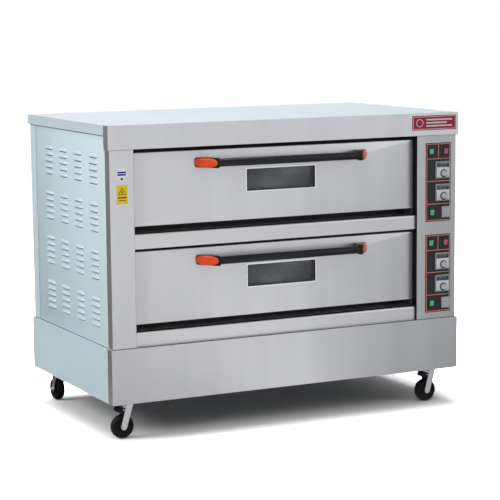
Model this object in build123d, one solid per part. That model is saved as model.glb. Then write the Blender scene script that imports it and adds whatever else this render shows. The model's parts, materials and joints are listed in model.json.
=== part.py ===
from build123d import *
import math
import os

# Two-deck bakery oven, millimetres, +Z up, front towards -Y.
# The origin is the middle of the overall box, on the floor.

# Overall driving dimensions
WIDTH = 1600.0
HEIGHT = 1250.0
DEPTH = 910.0
SHEET = 1.5
HANDLE_PROUD = 48.0
GLAND_PROUD = 23.0

HALF = WIDTH / 2
FRONT = HANDLE_PROUD - (HANDLE_PROUD + DEPTH + GLAND_PROUD) / 2
BACK = FRONT + DEPTH

# Heights of the body
BASE_BOTTOM = 150.0
BASE_TOP = 370.0
FASCIA_BOTTOM = 1155.0
COVER_SKIRT = 40.0
DECK_PITCH = 390.0
DECKS = {"upper": 0.0, "lower": -DECK_PITCH}

# Columns beside the doors
INSET = 8.0
RETURN = 45.0
OPENING_LEFT = -691.0
OPENING_RIGHT = 602.0
COLUMN_HALF = HALF - INSET
REAR_POST = 76.0
POST_REAR = 60.0
SIDE_TOP = HEIGHT - SHEET

# Doors, given for the upper deck
DOOR_GAP = 3.0
DOOR_BOTTOM = 847.0
DOOR_HEIGHT = 291.0
DOOR_FACE = FRONT + 36.0
DOOR_THICK = 85.0
DOOR_BACK = DOOR_FACE + DOOR_THICK
DOOR_LEFT = OPENING_LEFT + DOOR_GAP
DOOR_RIGHT = OPENING_RIGHT - DOOR_GAP
WINDOW_X = -30.0
WINDOW_Z = DOOR_BOTTOM + 160.5
WINDOW_W = 312.0
WINDOW_H = 88.0
FRAME_FACE = DOOR_BACK + 4.0

# Door hinge axis, measured from the lower front corner of the door
HINGE_SET = 14.0
PIN_R = 6.0
PIN_CLEARANCE = 0.06
HINGE_Y = DOOR_FACE + HINGE_SET

# Sill under each door
SILL_BOTTOM = 760.0
SILL_HEIGHT = 60.0
SILL_FACE = FRONT + 20.0

# Handle
HANDLE_X = -24.0
HANDLE_Z = 1089.0
BAR_R = 16.0
BAR_OUT = 68.0
BAR_HALF = 318.0
LEG_HEIGHT = 40.0
TIP_HALF = 330.0
FOOT_HALF = 394.0
TIP_OUT = 84.0
CAP_THICK = 5.0

# Baking chamber, given for the upper deck
CHAMBER_W = 1220.0
CHAMBER_D = 660.0
CHAMBER_BOTTOM = 868.0
CHAMBER_HEIGHT = 230.0
CHAMBER_X = (OPENING_LEFT + OPENING_RIGHT) / 2
CHAMBER_WALL = 2.0
WOOL_SIDE = 52.0
WOOL_UNDER = 33.0
HEARTH_RISE = 45.0
HEARTH_THICK = 6.0
ELEMENT_R = 4.0

# Control column
PANEL_X = 706.0
PANEL_W = 124.0
PANEL_TOP = 1122.0
PANEL_ROWS = (57.0, 88.0, 90.0, 64.0)
PANEL_LINE = 7.0
PANEL_THICK = 1.0
COLUMN_FACE = FRONT + INSET
PANEL_FACE = COLUMN_FACE - PANEL_THICK

# Casters
WHEEL_R = 48.0
WHEEL_W = 32.0
TRAIL = 25.0
CASTER_X = 708.0
CASTER_FRONT = FRONT + 72.0
CASTER_BACK = BACK - 66.0
PLATE_TOP = 160.0


def block(x0, x1, y0, y1, z0, z1):
    """Box between two corners."""
    size = (x1 - x0, y1 - y0, z1 - z0)
    return Pos((x0 + x1) / 2, (y0 + y1) / 2, (z0 + z1) / 2) * Box(*size)


def rod_x(x0, x1, y, z, r):
    """Round bar along X."""
    return Pos((x0 + x1) / 2, y, z) * Rot(0, 90, 0) * Cylinder(r, x1 - x0)


def rod_y(x, y0, y1, z, r):
    """Round bar along Y."""
    return Pos(x, (y0 + y1) / 2, z) * Rot(90, 0, 0) * Cylinder(r, y1 - y0)


def rod_z(x, y, z0, z1, r):
    """Round bar along Z."""
    return Pos(x, y, (z0 + z1) / 2) * Cylinder(r, z1 - z0)


def save(name, *solids):
    """Writes one node; several solids stay separate."""
    found = [s for part in solids for s in part.solids()]
    shape = found[0] if len(found) == 1 else Compound(children=found)
    export_step(shape, f"parts/{name}.step")


def tube_x(x0, x1, y0, z0, side, wall):
    """Square tube along X."""
    outer = block(x0, x1, y0, y0 + side, z0, z0 + side)
    inner = block(x0, x1, y0 + wall, y0 + side - wall, z0 + wall, z0 + side - wall)
    return outer - inner


def tube_y(x0, y0, y1, z0, side, wall):
    """Square tube along Y."""
    outer = block(x0, x0 + side, y0, y1, z0, z0 + side)
    inner = block(x0 + wall, x0 + side - wall, y0, y1, z0 + wall, z0 + side - wall)
    return outer - inner


def tube_z(x0, y0, z0, z1, side, wall):
    """Square tube along Z."""
    outer = block(x0, x0 + side, y0, y0 + side, z0, z1)
    inner = block(x0 + wall, x0 + side - wall, y0 + wall, y0 + side - wall, z0, z1)
    return outer - inner


# ---- base and cabinet ----


def base_frame():
    """Welded square-tube frame that stands on the four casters."""
    side, wall = 40.0, 2.0
    margin = 14.0
    left, right = -HALF + margin, HALF - margin
    front, back = FRONT + margin, BACK - margin
    floor = BASE_TOP - SHEET - side
    rails = []
    for y in (front, back - side):
        rails.append(tube_x(left, right, y, PLATE_TOP, side, wall))
        rails.append(tube_x(left, right, y, floor, side, wall))
        for x in (left, right - side):
            rails.append(tube_z(x, y, PLATE_TOP + side, floor, side, wall))
    for y in (CASTER_FRONT, CASTER_BACK):
        near, far = max(y - 28, front + side), min(y + 28, back - side)
        for x in (-CASTER_X, CASTER_X):
            rails.append(block(x - 60, x + 60, near, far, PLATE_TOP, PLATE_TOP + 6))
    for x in (left, -side / 2, right - side):
        rails.append(tube_y(x, front + side, back - side, floor, side, wall))
    cross = PLATE_TOP + 6
    for x in (-CASTER_X - side / 2, CASTER_X - side / 2):
        rails.append(tube_y(x, front + side, back - side, cross, side, wall))
    return rails


def base_front_panel():
    """Stainless front of the base, folded round both corners."""
    face = block(-HALF, HALF, FRONT, FRONT + SHEET, BASE_BOTTOM, BASE_TOP)
    folds = [
        block(x, x + SHEET, FRONT, FRONT + RETURN, BASE_BOTTOM, BASE_TOP)
        for x in (-HALF, HALF - SHEET)
    ]
    ledge = block(-HALF, HALF, FRONT, FRONT + RETURN, BASE_TOP - SHEET, BASE_TOP)
    hem = block(-HALF, HALF, FRONT, FRONT + 12, BASE_BOTTOM, BASE_BOTTOM + SHEET)
    return face + folds + ledge + hem


def base_skirt_panels():
    """Painted sheets on both sides and the back of the base, each with a ledge fold."""
    y = FRONT + RETURN
    low, high = BASE_BOTTOM, BASE_TOP
    left = block(-HALF, -HALF + SHEET, y, BACK, low, high)
    left += block(-HALF, -HALF + 30, y, BACK, high - SHEET, high)
    rear = block(-HALF + 30, HALF - 30, BACK - SHEET, BACK, low, high)
    rear += block(-HALF + 30, HALF - 30, BACK - 30, BACK, high - SHEET, high)
    corners = (-HALF + SHEET, HALF - 30)
    ends = [block(x, x + 30 - SHEET, BACK - SHEET, BACK, low, high - SHEET) for x in corners]
    return [left, mirror(left, about=Plane.YZ), rear + ends]


def cabinet_floor():
    """Plate that closes the cabinet under the lower chamber."""
    x = HALF - 30 - 0.5
    return block(-x, x, FRONT + RETURN, BACK - 30.5, BASE_TOP - SHEET, BASE_TOP)


def top_cover():
    """Painted lid, with skirts on both sides and the back."""
    lid = block(-HALF + SHEET, HALF - SHEET, FRONT + SHEET, BACK - SHEET, HEIGHT - SHEET, HEIGHT)
    y = FRONT + RETURN
    skirts = [
        block(-HALF, -HALF + SHEET, y, BACK, HEIGHT - COVER_SKIRT, HEIGHT),
        block(HALF - SHEET, HALF, y, BACK, HEIGHT - COVER_SKIRT, HEIGHT),
        block(-HALF, HALF, BACK - SHEET, BACK, HEIGHT - COVER_SKIRT, HEIGHT),
    ]
    return lid + skirts


def top_fascia():
    """Stainless band over the upper door, with a lintel fold under it."""
    face = block(-HALF, HALF, FRONT, FRONT + SHEET, FASCIA_BOTTOM, HEIGHT)
    folds = [
        block(x, x + SHEET, FRONT, FRONT + RETURN, FASCIA_BOTTOM, HEIGHT)
        for x in (-HALF, HALF - SHEET)
    ]
    lintel = block(-HALF, HALF, FRONT, FRONT + RETURN, FASCIA_BOTTOM, FASCIA_BOTTOM + SHEET)
    deep = block(OPENING_LEFT, OPENING_RIGHT, FRONT, FRAME_FACE, FASCIA_BOTTOM, FASCIA_BOTTOM + SHEET)
    return face + folds + lintel + deep


def hinge_holes(x):
    """Clearance holes for the door pins, through a cheek at x."""
    holes = []
    for drop in DECKS.values():
        z = DOOR_BOTTOM + HINGE_SET + drop
        holes.append(rod_x(x - 5, x + 5, HINGE_Y, z, PIN_R + PIN_CLEARANCE))
    return holes


def column(outer, inner):
    """Stainless channel beside the doors, from the outer side to the door opening."""
    low, high = min(outer, inner), max(outer, inner)
    z0, z1 = BASE_TOP, FASCIA_BOTTOM
    face = block(low, high, COLUMN_FACE, COLUMN_FACE + SHEET, z0, z1)
    step = SHEET if outer < inner else -SHEET
    side = block(*sorted((outer, outer + step)), COLUMN_FACE, FRONT + INSET + RETURN, z0, z1)
    cheek = block(*sorted((inner - step, inner)), COLUMN_FACE, FRAME_FACE, z0, z1)
    return face + side + cheek - hinge_holes(inner - step / 2)


def panel_rows(drop):
    """Lower and upper height of each row of controls."""
    rows, z = [], PANEL_TOP + drop
    for height in PANEL_ROWS:
        rows.append((z - PANEL_LINE - height, z - PANEL_LINE))
        z -= PANEL_LINE + height
    return rows


# Control centres on a panel: x, row, height above the row's middle, half width, half height
THERMOSTAT = 36.0
THERMOSTAT_X = 727.0
ROCKER_W = 26.0
ROCKER_H = 31.0
ROCKERS = {"power_rocker": (672.0, 0), "heat_rocker": (744.0, 0), "lamp_rocker": (676.0, 3)}
TIMER_X = 744.0
TIMER_W = 40.0
TIMER_H = 46.0
KNOB_DROP = 15.0
KNOB_X = THERMOSTAT_X + 3.0


def device_places(drop):
    """Every device on one panel: name, x, z, body width, body height."""
    rows = [(low + high) / 2 for low, high in panel_rows(drop)]
    found = [("thermostat", THERMOSTAT_X, rows[r], 66.0, 66.0) for r in (1, 2)]
    found += [(n, x, rows[r], ROCKER_W - 3, ROCKER_H - 3) for n, (x, r) in ROCKERS.items()]
    found.append(("timer", TIMER_X, rows[3], TIMER_W - 4, TIMER_H - 4))
    return found


def device_holes(drop, slack):
    """Rectangular cut-outs for the devices, slack wider on each side."""
    holes = []
    for _, x, z, w, h in device_places(drop):
        wide, tall = w / 2 + slack, h / 2 + slack
        holes.append(block(x - wide, x + wide, FRONT - 5, FRONT + 20, z - tall, z + tall))
    return holes


def right_column():
    """Wider channel that carries the controls."""
    body = column(COLUMN_HALF, OPENING_RIGHT)
    for drop in DECKS.values():
        body -= device_holes(drop, 1.0)
    return body


def control_panel(drop):
    """Flat black plate with a raised red border round each cell."""
    x0, x1 = PANEL_X - PANEL_W / 2, PANEL_X + PANEL_W / 2
    rows = panel_rows(drop)
    plate = block(x0, x1, PANEL_FACE, COLUMN_FACE, rows[-1][0] - PANEL_LINE, PANEL_TOP + drop)
    return plate - device_holes(drop, 0.5)


LOUVRE_COLUMNS = 4
LOUVRE_GROUPS = 4
LOUVRES_IN_GROUP = 5
LOUVRE_PITCH_Y = 167.0
LOUVRE_PITCH_Z = 25.8
LOUVRE_GROUP_PITCH = 190.0
LOUVRE_TOP = 1117.0
LOUVRE_W = 88.0
LOUVRE_H = 15.0
LOUVRE_OUT = 6.0
LOUVRE_FIRST_Y = FRONT + 179.0


def louvre(side):
    """Pressed hood over a slot, its mouth facing down, on a panel with its face at x = 0."""
    slope = Polyline((0, 0), (side * LOUVRE_OUT, 0), (side * LOUVRE_OUT, 2), (0, LOUVRE_H), close=True)
    face = Plane(origin=(0, -LOUVRE_W / 2, 0), x_dir=(1, 0, 0), z_dir=(0, -1, 0)) * make_face(slope)
    return extrude(face, amount=-LOUVRE_W)


def louvre_places():
    """y and z of the foot of every louvre."""
    return [
        (LOUVRE_FIRST_Y + c * LOUVRE_PITCH_Y, LOUVRE_TOP - g * LOUVRE_GROUP_PITCH - n * LOUVRE_PITCH_Z)
        for c in range(LOUVRE_COLUMNS)
        for g in range(LOUVRE_GROUPS)
        for n in range(LOUVRES_IN_GROUP)
    ]


def side_panel(side):
    """Louvred side sheet; side is -1 on the left and 1 on the right."""
    outer = side * COLUMN_HALF
    x0, x1 = sorted((outer, outer - side * SHEET))
    y0, y1 = FRONT + INSET + RETURN, BACK - REAR_POST
    sheet = block(x0, x1, y0, y1, BASE_TOP, SIDE_TOP)
    hood = louvre(side)
    return sheet + [Pos(outer, y, z) * hood for y, z in louvre_places()]


def rear_corner_post(side):
    """Angle that closes a rear corner; side is -1 on the left and 1 on the right."""
    outer = side * COLUMN_HALF
    end = BACK - INSET
    flank = block(*sorted((outer, outer - side * SHEET)), BACK - REAR_POST, end, BASE_TOP, SIDE_TOP)
    rear = block(*sorted((outer, outer - side * POST_REAR)), end - SHEET, end, BASE_TOP, SIDE_TOP)
    return flank + rear


GLAND_X = 640.0
GLAND_Z = 470.0
GLAND_THREAD_R = 16.0
GLAND_BORE_R = 11.0


def back_panel():
    """Flat rear sheet between the corner posts, with the cable inlet hole."""
    x = COLUMN_HALF - POST_REAR
    sheet = block(-x, x, BACK - INSET - SHEET, BACK - INSET, BASE_TOP, SIDE_TOP)
    return sheet - rod_y(GLAND_X, BACK - 30, BACK + 30, GLAND_Z, GLAND_THREAD_R)


def cable_gland():
    """Hexagon cable gland through the rear sheet, with its locknut inside."""
    nut = [rod_y_hex(BACK - INSET, BACK - INSET + 9, 22.0)]
    body = rod_y(GLAND_X, BACK - 24, BACK + GLAND_PROUD, GLAND_Z, GLAND_THREAD_R)
    dome = rod_y(GLAND_X, BACK + 4, BACK + GLAND_PROUD, GLAND_Z, 19.0)
    locknut = rod_y_hex(BACK - INSET - SHEET - 7, BACK - INSET - SHEET, 22.0)
    bore = rod_y(GLAND_X, BACK - 40, BACK + 40, GLAND_Z, GLAND_BORE_R)
    return body + nut + dome + locknut - bore


def rod_y_hex(y0, y1, r):
    """Hexagonal bar along Y at the gland."""
    face = Plane(origin=(GLAND_X, y0, GLAND_Z), z_dir=(0, 1, 0)) * RegularPolygon(r, 6)
    return extrude(face, amount=y1 - y0)


def door_sill(drop):
    """Rounded stainless ledge under a door."""
    z0, z1 = SILL_BOTTOM + drop, SILL_BOTTOM + SILL_HEIGHT + drop
    if z0 <= BASE_TOP:
        z0 = BASE_TOP
    outer = block(OPENING_LEFT, OPENING_RIGHT, SILL_FACE, FRAME_FACE, z0, z1)
    outer = fillet(outer.edges().filter_by(Axis.X).group_by(Axis.Y)[0].group_by(Axis.Z)[-1], 9.0)
    inner = block(OPENING_LEFT, OPENING_RIGHT, SILL_FACE + SHEET, FRAME_FACE, z0 + SHEET, z1 - SHEET)
    inner = fillet(inner.edges().filter_by(Axis.X).group_by(Axis.Y)[0].group_by(Axis.Z)[-1], 7.5)
    return outer - inner


# ---- chambers ----


def jacket(x0, x1, y0, y1, z0, z1, wall):
    """Five flat slabs round a box that is open to the front; wall is left, right, back, under, over."""
    left, right, back, under, over = wall
    return [
        block(x0 - left, x1 + right, y0, y1 + back, z0 - under, z0),
        block(x0 - left, x1 + right, y0, y1 + back, z1, z1 + over),
        block(x0 - left, x0, y0, y1 + back, z0, z1),
        block(x1, x1 + right, y0, y1 + back, z0, z1),
        block(x0, x1, y1, y1 + back, z0, z1),
    ]


def chamber_box(drop):
    """Inner sides of a chamber: x, y and z limits."""
    x0, x1 = CHAMBER_X - CHAMBER_W / 2, CHAMBER_X + CHAMBER_W / 2
    z0 = CHAMBER_BOTTOM + drop
    return x0, x1, FRAME_FACE, FRAME_FACE + CHAMBER_D, z0, z0 + CHAMBER_HEIGHT


def chamber(drop):
    """Steel baking chamber, open to the front, with the frame that the door closes on."""
    w = CHAMBER_WALL
    x0, x1, y0, y1, z0, z1 = chamber_box(drop)
    walls = jacket(x0, x1, y0, y1, z0, z1, (w, w, w, w, w))
    low = BASE_TOP if drop else SILL_BOTTOM
    high = SILL_BOTTOM if drop else FASCIA_BOTTOM
    left, right, front, rear = OPENING_LEFT, OPENING_RIGHT, y0, y0 + SHEET
    frame = [
        block(left, right, front, rear, low, z0 - w),
        block(left, right, front, rear, z1 + w, high),
        block(left, x0 - w, front, rear, z0 - w, z1 + w),
        block(x1 + w, right, front, rear, z0 - w, z1 + w),
    ]
    return walls + frame


def insulation(drop):
    """Mineral wool slabs round a chamber."""
    w, s, u = CHAMBER_WALL, WOOL_SIDE, WOOL_UNDER
    x0, x1, y0, y1, z0, z1 = chamber_box(drop)
    right = OPENING_RIGHT - x1 - w - 4
    return jacket(x0 - w, x1 + w, y0 + SHEET, y1 + w, z0 - w, z1 + w, (min(s, right), right, s, u, u))


def hearth_plate(drop):
    """Steel baking hearth over the lower elements, on two flat rails."""
    edge = 4.0
    x0, x1 = CHAMBER_X - CHAMBER_W / 2 + edge, CHAMBER_X + CHAMBER_W / 2 - edge
    z = CHAMBER_BOTTOM + HEARTH_RISE + drop
    plate = block(x0, x1, FRAME_FACE + edge, FRAME_FACE + CHAMBER_D - edge, z, z + HEARTH_THICK)
    rails = [
        block(x0 + k * (x1 - x0 - 20), x0 + k * (x1 - x0 - 20) + 20, FRAME_FACE + edge,
              FRAME_FACE + CHAMBER_D - edge, CHAMBER_BOTTOM + drop, z)
        for k in (0, 1)
    ]
    return [plate, *rails]


def heating_elements(drop):
    """Hairpin rod heaters, three under the roof and three under the hearth."""
    found = []
    bend = 45.0
    right = CHAMBER_X + CHAMBER_W / 2
    left = CHAMBER_X - CHAMBER_W / 2 + 40
    roof = CHAMBER_BOTTOM + CHAMBER_HEIGHT - 20 + drop
    under = CHAMBER_BOTTOM + 22 + drop
    for z, end in ((roof, right), (under, right - 26)):
        for n in range(3):
            y = FRAME_FACE + 130 + n * 200
            turn = left + bend
            path = Polyline((end, y - bend, z), (turn, y - bend, z))
            path += ThreePointArc((turn, y - bend, z), (left, y, z), (turn, y + bend, z))
            path += Polyline((turn, y + bend, z), (end, y + bend, z))
            ring = Plane(origin=(end, y - bend, z), z_dir=(-1, 0, 0)) * Circle(ELEMENT_R)
            found.append(sweep(ring, path=path))
    return found


# ---- doors ----


def door_skin(drop):
    """Stainless outer tray of a door, with the window cut out."""
    z0, z1 = DOOR_BOTTOM + drop, DOOR_BOTTOM + DOOR_HEIGHT + drop
    t = SHEET
    tray = block(DOOR_LEFT, DOOR_RIGHT, DOOR_FACE, DOOR_BACK - t, z0, z1)
    tray -= block(DOOR_LEFT + t, DOOR_RIGHT - t, DOOR_FACE + t, DOOR_BACK, z0 + t, z1 - t)
    tray -= window_block(drop, 0.0, DOOR_FACE - 5, DOOR_FACE + 5)
    z = z0 + HINGE_SET
    return tray - rod_x(DOOR_LEFT - 5, DOOR_LEFT + 5, HINGE_Y, z, PIN_R) - rod_x(
        DOOR_RIGHT - 5, DOOR_RIGHT + 5, HINGE_Y, z, PIN_R
    )


def window_block(drop, grow, y0, y1):
    """Block the size of the window opening, grown on each side."""
    w, h, z = WINDOW_W / 2 + grow, WINDOW_H / 2 + grow, WINDOW_Z + drop
    return block(WINDOW_X - w, WINDOW_X + w, y0, y1, z - h, z + h)


def door_inner_panel(drop):
    """Flat back of a door, with the window tunnel and the two hinge blocks."""
    t = SHEET
    z0, z1 = DOOR_BOTTOM + drop, DOOR_BOTTOM + DOOR_HEIGHT + drop
    panel = block(DOOR_LEFT, DOOR_RIGHT, DOOR_BACK - t, DOOR_BACK, z0, z1)
    panel += window_block(drop, t, DOOR_FACE + t, DOOR_BACK)
    panel -= window_block(drop, 0.0, DOOR_FACE - 5, DOOR_BACK + 5)
    return panel


def door_insulation(drop):
    """Mineral wool inside a door, in four slabs round the window tunnel."""
    y0, y1 = DOOR_FACE + SHEET + 3, DOOR_BACK - SHEET
    low, high = DOOR_BOTTOM + drop + 30, DOOR_BOTTOM + DOOR_HEIGHT + drop - SHEET
    left, right = DOOR_LEFT + 30, DOOR_RIGHT - 30
    w, h, z = WINDOW_W / 2 + SHEET, WINDOW_H / 2 + SHEET, WINDOW_Z + drop
    return [
        block(left, right, y0, y1, low, z - h),
        block(left, right, y0, y1, z + h, high),
        block(left, WINDOW_X - w, y0, y1, z - h, z + h),
        block(WINDOW_X + w, right, y0, y1, z - h, z + h),
    ]


def hinge_pins(drop):
    """Two shouldered pins that stand out of the ends of a door."""
    z = DOOR_BOTTOM + HINGE_SET + drop
    found = []
    for end, out in ((DOOR_LEFT, -1), (DOOR_RIGHT, 1)):
        inner = end - out * SHEET
        tip = end + out * (DOOR_GAP + SHEET + 4)
        pin = rod_x(*sorted((inner - out * 26, tip)), HINGE_Y, z, PIN_R)
        head = rod_x(*sorted((inner - out * 26, inner)), HINGE_Y, z, 11.0)
        found.append(pin + head)
    return found


def window_panes(drop):
    """Outer and inner glass of the door window."""
    return [
        window_block(drop, 0.0, DOOR_FACE + depth, DOOR_FACE + depth + 4)
        for depth in (12.0, DOOR_THICK - 10)
    ]


def handle_bar(drop):
    """Black grip tube."""
    y = DOOR_FACE - BAR_OUT
    z = HANDLE_Z + drop
    tube = rod_x(HANDLE_X - BAR_HALF, HANDLE_X + BAR_HALF, y, z, BAR_R)
    return tube - rod_x(HANDLE_X - BAR_HALF, HANDLE_X + BAR_HALF, y, z, BAR_R - 3)


def handle_brackets(drop):
    """Splayed legs that carry the grip; the grip ends butt against them."""
    found = []
    for side in (-1, 1):
        points = [
            (side * FOOT_HALF, 0),
            (side * (FOOT_HALF - 58), 0),
            (side * BAR_HALF, BAR_OUT - BAR_R),
            (side * BAR_HALF, TIP_OUT),
            (side * TIP_HALF, TIP_OUT),
        ]
        outline = make_face(Polyline(*points, close=True))
        foot = (HANDLE_X, DOOR_FACE, HANDLE_Z + drop - LEG_HEIGHT / 2)
        place = Plane(origin=foot, x_dir=(1, 0, 0), z_dir=(0, 0, 1))
        leg = extrude(place * mirror(outline, about=Plane.XZ), amount=LEG_HEIGHT)
        found.append(fillet(leg.edges().group_by(Axis.Z)[0] + leg.edges().group_by(Axis.Z)[-1], 6.0))
    return found


def handle_caps(drop):
    """Orange oval caps on the sloping outer faces of the legs."""
    run, rise = FOOT_HALF - TIP_HALF, TIP_OUT
    length = math.hypot(run, rise)
    found = []
    for side in (-1, 1):
        middle = ((FOOT_HALF + TIP_HALF) / 2 * side + HANDLE_X, DOOR_FACE - TIP_OUT / 2, HANDLE_Z + drop)
        normal = (side * rise / length, -run / length, 0)
        plane = Plane(origin=middle, x_dir=(0, 0, 1), z_dir=normal)
        oval = plane * RectangleRounded(LEG_HEIGHT - 2, length - 8, (LEG_HEIGHT - 2) / 2 - 0.5)
        cap = extrude(oval, amount=CAP_THICK)
        face = cap.faces().sort_by(lambda f: (f.center() - Vector(*middle)).dot(Vector(*normal)))[-1]
        found.append(fillet(face.edges(), 3.0))
    return found


# ---- controls ----


def thermostat(x, z):
    """Panel thermostat: square bezel, display recess, spindle hole and rear case."""
    s = THERMOSTAT
    y = PANEL_FACE
    bezel = block(x - s, x + s, y - 5, y, z - s, z + s)
    bezel -= block(x - s + 6, x + s - 6, y - 6, y - 3.5, z + 12, z + 29)
    case = block(x - 33, x + 33, y, y + 70, z - 33, z + 33)
    return bezel + case - rod_y(x + KNOB_X - THERMOSTAT_X, y - 10, y + 14, z - KNOB_DROP, 3.06)


def knob(x, z):
    """Fluted dial knob on its spindle."""
    y = PANEL_FACE - 5
    body = rod_y(x, y - 13, y - 1, z, 12.0)
    skirt = rod_y(x, y - 3, y - 1, z, 15.0)
    spindle = rod_y(x, y - 1, y + 14, z, 3.0)
    cuts = [
        Pos(x, 0, z) * Rot(0, a * 30, 0) * rod_y(12.6, y - 14, y - 3, 0, 1.3)
        for a in range(12)
    ]
    pointer = block(x - 0.8, x + 0.8, y - 13.6, y - 12.6, z + 2, z + 11)
    return body + skirt + spindle - cuts + pointer


def rocker_frame(x, z):
    """Bezel and case of a rocker switch."""
    w, h = ROCKER_W / 2, ROCKER_H / 2
    y = PANEL_FACE
    bezel = block(x - w, x + w, y - 2.5, y, z - h, z + h)
    case = block(x - w + 1.5, x + w - 1.5, y, y + 26, z - h + 1.5, z + h - 1.5)
    well = block(x - w + 3, x + w - 3, y - 3, y + 16, z - h + 3, z + h - 3)
    return bezel + case - well


ROCKER_TILT = 9.0


def rocker(x, z):
    """Rocker button with two faces, resting with its lower face pushed in."""
    half_w, half_h = ROCKER_W / 2 - 3.6, ROCKER_H / 2 - 4.4
    rise = half_h * math.tan(math.radians(ROCKER_TILT))
    points = [(-half_h, 2), (half_h, 2), (half_h, -2 - rise), (0, -2), (-half_h, -2 - rise)]
    profile = make_face(Polyline(*points, close=True))
    place = Plane(origin=(x - half_w, PANEL_FACE, z), x_dir=(0, 0, 1), z_dir=(1, 0, 0))
    body = extrude(place * profile, amount=2 * half_w)
    body = body + rod_x(x - half_w, x + half_w, PANEL_FACE + 3, z, 2.5)
    return Pos(x, PANEL_FACE + 3, z) * Rot(ROCKER_TILT, 0, 0) * Pos(-x, -PANEL_FACE - 3, -z) * body


def timer(x, z):
    """Small grey timer: bezel, display recess and the well of its key."""
    w, h = TIMER_W / 2, TIMER_H / 2
    y = PANEL_FACE
    bezel = block(x - w, x + w, y - 4, y, z - h, z + h)
    bezel -= block(x - w + 5, x + w - 5, y - 5, y - 3, z + 2, z + h - 5)
    case = block(x - w + 2, x + w - 2, y, y + 55, z - h + 2, z + h - 2)
    well = block(x - 13.3, x + 13.3, y - 5, y + 3, z - h + 4.7, z - h + 13.3)
    return bezel + case - well


def timer_key(x, z):
    """Reset key in the lower part of the timer."""
    h = TIMER_H / 2
    return block(x - 13, x + 13, PANEL_FACE - 6, PANEL_FACE, z - h + 5, z - h + 13)


# ---- casters ----

# Each caster: kingpin x, kingpin y, direction of trail in degrees from +X
CASTERS = {
    "front_left": (-CASTER_X, CASTER_FRONT, 180.0),
    "front_right": (CASTER_X, CASTER_FRONT, 180.0),
    "rear_left": (-CASTER_X, CASTER_BACK, 95.0),
    "rear_right": (CASTER_X, CASTER_BACK, 100.0),
}
KINGPIN_R = 6.0
AXLE_R = 4.0
CROWN_Z = 140.0
FORK_INNER = WHEEL_W / 2 + 3.5
FORK_WALL = 3.0
PEDAL_X = TRAIL - 1.0
PEDAL_Z = 117.0
PEDAL_PIN_R = 3.0


def caster_plate():
    """Top plate, race and kingpin of a caster, at the kingpin's axis."""
    plate = block(-50, 50, -42, 42, PLATE_TOP - 5, PLATE_TOP)
    slots = [rod_z(x, y, PLATE_TOP - 10, PLATE_TOP + 5, 4.5) for x in (-38, 38) for y in (-30, 30)]
    race = rod_z(0, 0, CROWN_Z + 5.2, PLATE_TOP - 4, 26)
    kingpin = rod_z(0, 0, CROWN_Z - 12, PLATE_TOP - 4, KINGPIN_R)
    nut = rod_z(0, 0, CROWN_Z - 12, CROWN_Z - 0.6, 10)
    return plate - slots + race + kingpin + nut


def caster_fork():
    """Pressed fork, kingpin at the origin and wheel trailing towards +X."""
    reach = PEDAL_X + 10
    crown = rod_z(0, 0, CROWN_Z, CROWN_Z + 4.6, 30)
    crown += block(0, reach, -FORK_INNER - FORK_WALL, FORK_INNER + FORK_WALL, CROWN_Z, CROWN_Z + 4.6)
    crown -= rod_z(0, 0, CROWN_Z - 5, CROWN_Z + 10, KINGPIN_R + 0.06)
    legs = []
    for side in (-1, 1):
        y = side * (FORK_INNER + FORK_WALL / 2) - FORK_WALL / 2
        blade = Polyline(
            (-15, CROWN_Z), (13, CROWN_Z), (TRAIL + 12, WHEEL_R + 4), (TRAIL - 12, WHEEL_R - 4), close=True
        )
        low = PEDAL_Z - 7
        ear = Polyline((-15, CROWN_Z), (reach, CROWN_Z), (reach - 2, low), (reach - 18, low), close=True)
        outline = make_face(blade) + Pos(TRAIL, WHEEL_R) * Circle(12.6)
        if side < 0:
            outline += make_face(ear)
        place = Plane(origin=(0, y + FORK_WALL, 0), x_dir=(1, 0, 0), z_dir=(0, -1, 0))
        legs.append(extrude(place * outline, amount=FORK_WALL))
    axle = rod_y(TRAIL, -FORK_INNER - FORK_WALL - 9, FORK_INNER + FORK_WALL + 7, WHEEL_R, AXLE_R)
    head = rod_y(TRAIL, -FORK_INNER - FORK_WALL - 5, -FORK_INNER - FORK_WALL, WHEEL_R, 7.5)
    nut = rod_y(TRAIL, FORK_INNER + FORK_WALL, FORK_INNER + FORK_WALL + 6, WHEEL_R, 7.5)
    pivot = rod_y(PEDAL_X, -FORK_INNER - FORK_WALL - 2, FORK_INNER - 1, PEDAL_Z, PEDAL_PIN_R)
    return crown + legs + axle + head + nut + pivot


def brake_pedal():
    """Foot lever with a heel just over the tread; it pivots on a pin in the fork's ear."""
    w = FORK_INNER - 1.5
    swing = PEDAL_Z - 2 * WHEEL_R - 0.8
    heel = make_face(
        Polyline(
            (PEDAL_X - 9, PEDAL_Z),
            (PEDAL_X - 6, PEDAL_Z - swing),
            (PEDAL_X + 6, PEDAL_Z - swing),
            (PEDAL_X + 9, PEDAL_Z),
            close=True,
        )
    )
    arm = make_face(
        Polyline(
            (PEDAL_X, PEDAL_Z + 9),
            (TRAIL + 19, PEDAL_Z + 12),
            (TRAIL + 27, PEDAL_Z + 6),
            (TRAIL + 27, PEDAL_Z - 6),
            (TRAIL + 16, PEDAL_Z - 10),
            (PEDAL_X, PEDAL_Z - 5),
            close=True,
        )
    )
    heel &= Pos(PEDAL_X, PEDAL_Z) * Circle(swing)
    outline = heel + arm + Pos(PEDAL_X, PEDAL_Z) * Circle(9)
    outline -= Pos(PEDAL_X, PEDAL_Z) * Circle(PEDAL_PIN_R + 0.06)
    place = Plane(origin=(0, w, 0), x_dir=(1, 0, 0), z_dir=(0, -1, 0))
    return extrude(place * outline, amount=2 * w)


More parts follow.
